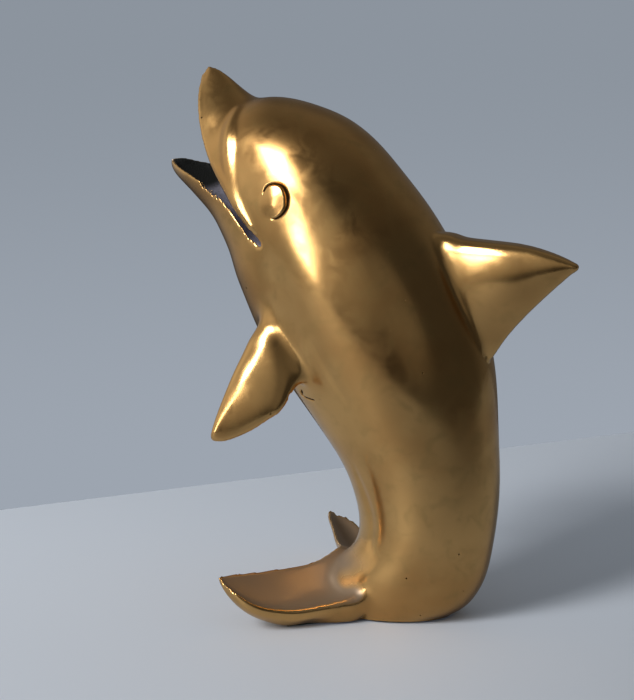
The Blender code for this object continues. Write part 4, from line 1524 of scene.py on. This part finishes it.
@dataclass
class Studio:
    """A pale table, a pale grey room, soft window-like lamps from the left, and the camera.

    Each wall of the room is a soft patch of light: its turn and rise as a lamp's, the angles from
    its middle at which it ends and at which it is full, and its strength.
    """

    camera_place: Place = (0.4618, -1.0519, 0.3808)
    camera_turn: float = 25.0
    camera_rise: float = 12.0
    lens: float = 117.26
    table_hex: str = "#C3C9D2"
    # The table is painted lighter at the back and darker on the right: painted light and shade.
    table_far_painted_light_hex: str = "#E3EAF4"
    table_near_hex: str = "#D7DDE6"
    table_right_painted_shade_hex: str = "#C6CCD4"
    # As glossy rays see it, the table is painted darker towards the front and the right: a painted
    # shade in what the brass reflects.
    table_shade: Place = (0.03, 0.03, 0.03)
    table_rough: float = 0.6
    shaded_across: Row = (-0.10, 0.35, 1.0, 0.45)
    shaded_sideways: Row = (-0.1, 0.3, 1.0, 0.7)
    right_part: Row = (0.0, 0.25)
    far_part: Row = (0.20, -0.15)
    back_left: tuple[float, float] = (-0.2724, 0.0697)
    back_right: tuple[float, float] = (0.0166, 0.4182)
    overhang: float = 1.2
    front: float = 0.45
    thickness: float = 0.02
    # The backdrop is painted darker towards the top: a painted shade.
    room_high_painted_shade_hex: str = "#8C949E"
    room_low_hex: str = "#9DA5B0"
    room_shown: Row = (-0.26, -0.07)
    ceiling: Row = (0.6, 0.95, 0.04, 0.10)
    even_light: Place = (0.215, 0.23, 0.245)
    wall_light: Place = (1.0, 0.99, 0.97)
    lamps: tuple[Lamp, ...] = (
        Lamp("window_top", -50.0, 35.0, 0.62, 1.05, 18.0, roll=30.0),
        Lamp("window_foot", -45.5, 10.0, 0.25, 0.90, 9.0, roll=-25.0),
        Lamp("rim", -168.0, 10.0, 0.32, 0.60, 1.0),
    )
    walls: tuple[Row, ...] = (
        (-120.0, 15.0, 55.0, 20.0, 0.40),
        (-88.0, 14.0, 34.0, 10.0, 0.22),
        (-66.0, 8.0, 22.0, 6.0, 0.27),
        (-38.0, 18.0, 34.0, 8.0, 0.24),
        (5.0, 12.0, 24.0, 8.0, 0.09),
        (150.0, 30.0, 70.0, 20.0, 0.06),
    )

    def build(self) -> None:
        """Set up the table, the room, the lamps and the camera."""
        self.table()
        self.room()
        aim = Vector((0, 0, (CAD_BOX[0][2] + CAD_BOX[1][2]) / 2))
        for lamp in self.lamps:
            lamp.build(aim, self.camera_turn)
        data = bpy.data.cameras.new("camera")
        data.lens = self.lens
        camera = bpy.data.objects.new("camera", data)
        camera.location = self.camera_place
        camera.rotation_euler = (math.radians(90 - self.camera_rise), 0,
                                 math.radians(self.camera_turn))
        bpy.context.scene.collection.objects.link(camera)
        bpy.context.scene.camera = camera

    def table(self) -> None:
        """Make the table top, whose back edge slants as the photographed one does."""
        left, right = (Vector((*corner, 0)) for corner in (self.back_left, self.back_right))
        run = (right - left).normalized()
        left, right = left - run * self.overhang, right + run * self.overhang
        out = Vector((run.y, -run.x, 0))
        depth = self.front - out.dot(left)
        corners = [left, right, right + out * depth, left + out * depth]
        table = prism("table", corners, Vector((0, 0, -self.thickness)))
        material = bpy.data.materials.new("painted_table")
        node = partial(add_node, new_tree(material))
        place = node("TexCoord").outputs["Object"]
        across, sideways = (
            node("VectorMath", (place, towards(self.camera_turn + turn, 0)),
                 operation="DOT_PRODUCT") for turn in (0, 90))
        # Painted light and shade: the top is lighter towards the back and darker to the right.
        far_painted_light, right_painted_shade, *shades = (
            node("MapRange", (value, *ends), **SOFT)
            for value, ends in ((across, self.far_part), (sideways, self.right_part),
                                (across, self.shaded_across), (sideways, self.shaded_sideways)))
        # A painted shade in the brass's reflections of the table, darker to the front and right.
        shade = node("Math", shades, operation="MULTIPLY")
        rays = node("LightPath").outputs["Is Glossy Ray"]
        reflected = node("Mix", {0: shade, 6: (*self.table_shade, 1),
                                 7: colour(self.table_hex)}, data_type="RGBA")
        base = colour(self.table_near_hex)
        for share, tint in ((right_painted_shade, colour(self.table_right_painted_shade_hex)),
                            (far_painted_light, colour(self.table_far_painted_light_hex)), (rays, reflected)):
            base = node("Mix", {0: share, 6: base, 7: tint}, data_type="RGBA")
        shader = node("BsdfPrincipled", {"Base Color": base, "Roughness": self.table_rough})
        node("OutputMaterial", {"Surface": shader})
        table.data.materials.append(material)

    def room(self) -> None:
        """Make the room: pale behind and to the left, and dark in front and to the right."""
        world = bpy.data.worlds.new("room")
        bpy.context.scene.world = world
        node = partial(add_node, new_tree(world))
        way = node("TexCoord").outputs["Generated"]
        high = node("SeparateXYZ", (way,)).outputs["Z"]
        light = node("MapRange", (high, *self.ceiling), **SOFT)
        for turn, rise, wide, narrow, strength in self.walls:
            toward = node("VectorMath", (way, towards(self.camera_turn + turn, rise)),
                          operation="DOT_PRODUCT")
            patch = node("MapRange", (toward, math.cos(math.radians(wide)),
                                      math.cos(math.radians(narrow))), **SOFT)
            wall = node("Math", (patch, strength), operation="MULTIPLY")
            light = node("Math", (light, wall), operation="ADD")
        rays = node("LightPath").outputs
        # The backdrop that the camera sees is painted darker towards the top: a painted shade.
        shown = node("MapRange", (high, *self.room_shown), **SOFT)
        backdrop, glossy = (
            node("Mix", {0: share, 6: first, 7: second}, data_type="RGBA")
            for share, first, second in (
                (shown, colour(self.room_low_hex), colour(self.room_high_painted_shade_hex)),
                (light, (0, 0, 0, 1), (*self.wall_light, 1))))
        base = (*self.even_light, 1)
        for share, seen in ((rays["Is Glossy Ray"], glossy), (rays["Is Camera Ray"], backdrop)):
            base = node("Mix", {0: share, 6: base, 7: seen}, data_type="RGBA")
        background = node("Background", {"Color": base, "Strength": 1.0})
        node("OutputWorld", {"Surface": background})


ROOT_FILLETS = (
    Blending(((-50.6, -32.2, 155.6), (-39.8, -38.4, 157.5), (-30.6, -41.1, 154.8),
              (-25.5, -40.9, 145.5), (-25.4, -38.6, 131.9), (-26.2, -42.4, 122.5)), 16.0, 200),
    Blending(((34.7, -7.9, 199.9), (40.7, -10.2, 187.6), (47.0, -10.1, 174.1),
              (53.4, -8.6, 159.6), (59.5, -4.9, 146.3)), 8.0, 40),
    Blending(((9.0, -29.5, 13.5), (1.2, -28.8, 17.3), (-8.0, -25.0, 19.5), (-16.0, -18.5, 21.5),
              (-20.0, -13.0, 22.5)), 13.0, 70),
    Blending(((1.2, -28.8, 17.3), (-2.6, -27.0, 21.2), (-4.0, -23.4, 28.2),
              (-1.8, -21.9, 33.1)), 10.0, 40),
)

EYE_GROOVE = Stroke(
    ((-46.6, -38.6, 219.5), (-45.8, -38.1, 222.8), (-43.4, -37.8, 225.0), (-40.2, -37.7, 225.7),
     (-37.0, -37.8, 225.0), (-34.5, -38.4, 222.4), (-33.0, -39.1, 219.0), (-33.0, -39.9, 215.1),
     (-34.6, -40.5, 211.6), (-38.1, -40.8, 208.7), (-41.0, -40.5, 208.4)),
    (0.8, 1.2, 1.5, 1.9, 2.4, 2.9, 3.0, 2.6, 2.0, 1.4, 0.9), -1.6, 0.75)

OPEN_SEAM = Stroke(
    ((-29.4, -42.6, 118.6), (-31.0, -36.0, 117.6), (-31.9, -29.0, 116.4), (-27.3, -29.7, 115.7),
     (-21.4, -33.1, 115.7)),
    (4.4, 3.2, 1.8, 1.1, 1.3), -1.9, 0.5, (Side.LEFT,))

STROKES = (
    Stroke(((-73.0, -14.7, 260.5), (-73.6, -23.2, 252.1), (-71.8, -30.4, 240.1),
            (-68.9, -34.0, 227.6), (-64.0, -36.2, 215.6), (-59.0, -37.9, 206.5),
            (-54.0, -39.2, 199.5)), (6.0, 11.5, 13.0, 12.0, 10.5, 9.0, 6.0), 1.5, polish=5),
    Stroke(((-79.3, -30.0, 232.5), (-71.3, -33.0, 222.5), (-63.3, -35.5, 212.5),
            (-55.3, -37.5, 203.0)), (5.0, 10.0, 12.0, 9.0), 1.2, polish=3),
    Stroke(((-22.6, -42.7, 152.4), (-22.6, -41.1, 142.8), (-20.1, -40.3, 135.7)),
           (3.0, 6.0, 3.0), 0.5, polish=4),
    Stroke(((-18.6, -43.1, 150.0), (-11.1, -42.4, 136.7), (-0.2, -40.7, 119.5)),
           (4.0, 9.0, 5.0), -0.5, polish=4),
    Stroke(((-2.1, -29.7, 83.7), (0.0, -27.8, 75.5), (3.2, -26.9, 66.8), (5.9, -26.5, 58.0),
            (6.9, -26.3, 51.6), (6.4, -26.2, 43.6), (6.3, -26.9, 38.0)),
           (2.0, 6.0, 8.0, 9.0, 8.0, 6.0, 3.0), -1.1, polish=14),
    Stroke(((-41.2, -39.5, 217.6), (-41.2, -39.5, 216.6)), (17.0, 17.0), 0.9, polish=4),
    EYE_GROOVE,
    OPEN_SEAM,
)


def main() -> None:
    """Build every piece, dress it and set up the studio."""
    logging.basicConfig(level=logging.INFO, format="%(name)s: %(message)s")
    bpy.context.scene.view_settings.view_transform = "Standard"
    form = FineForm(blendings=ROOT_FILLETS, strokes=STROKES, refined=(EYE_GROOVE, OPEN_SEAM))
    form.build()
    castings = Castings(form)
    castings.build()
    castings.dress(CastBrass().build())
    pad = FeltPad()
    pad.dress(pad.build(), WoolFelt().build())
    HiddenPieces().dress(RolledBrass().build())
    Studio().build()


if __name__ == "__main__":
    main()
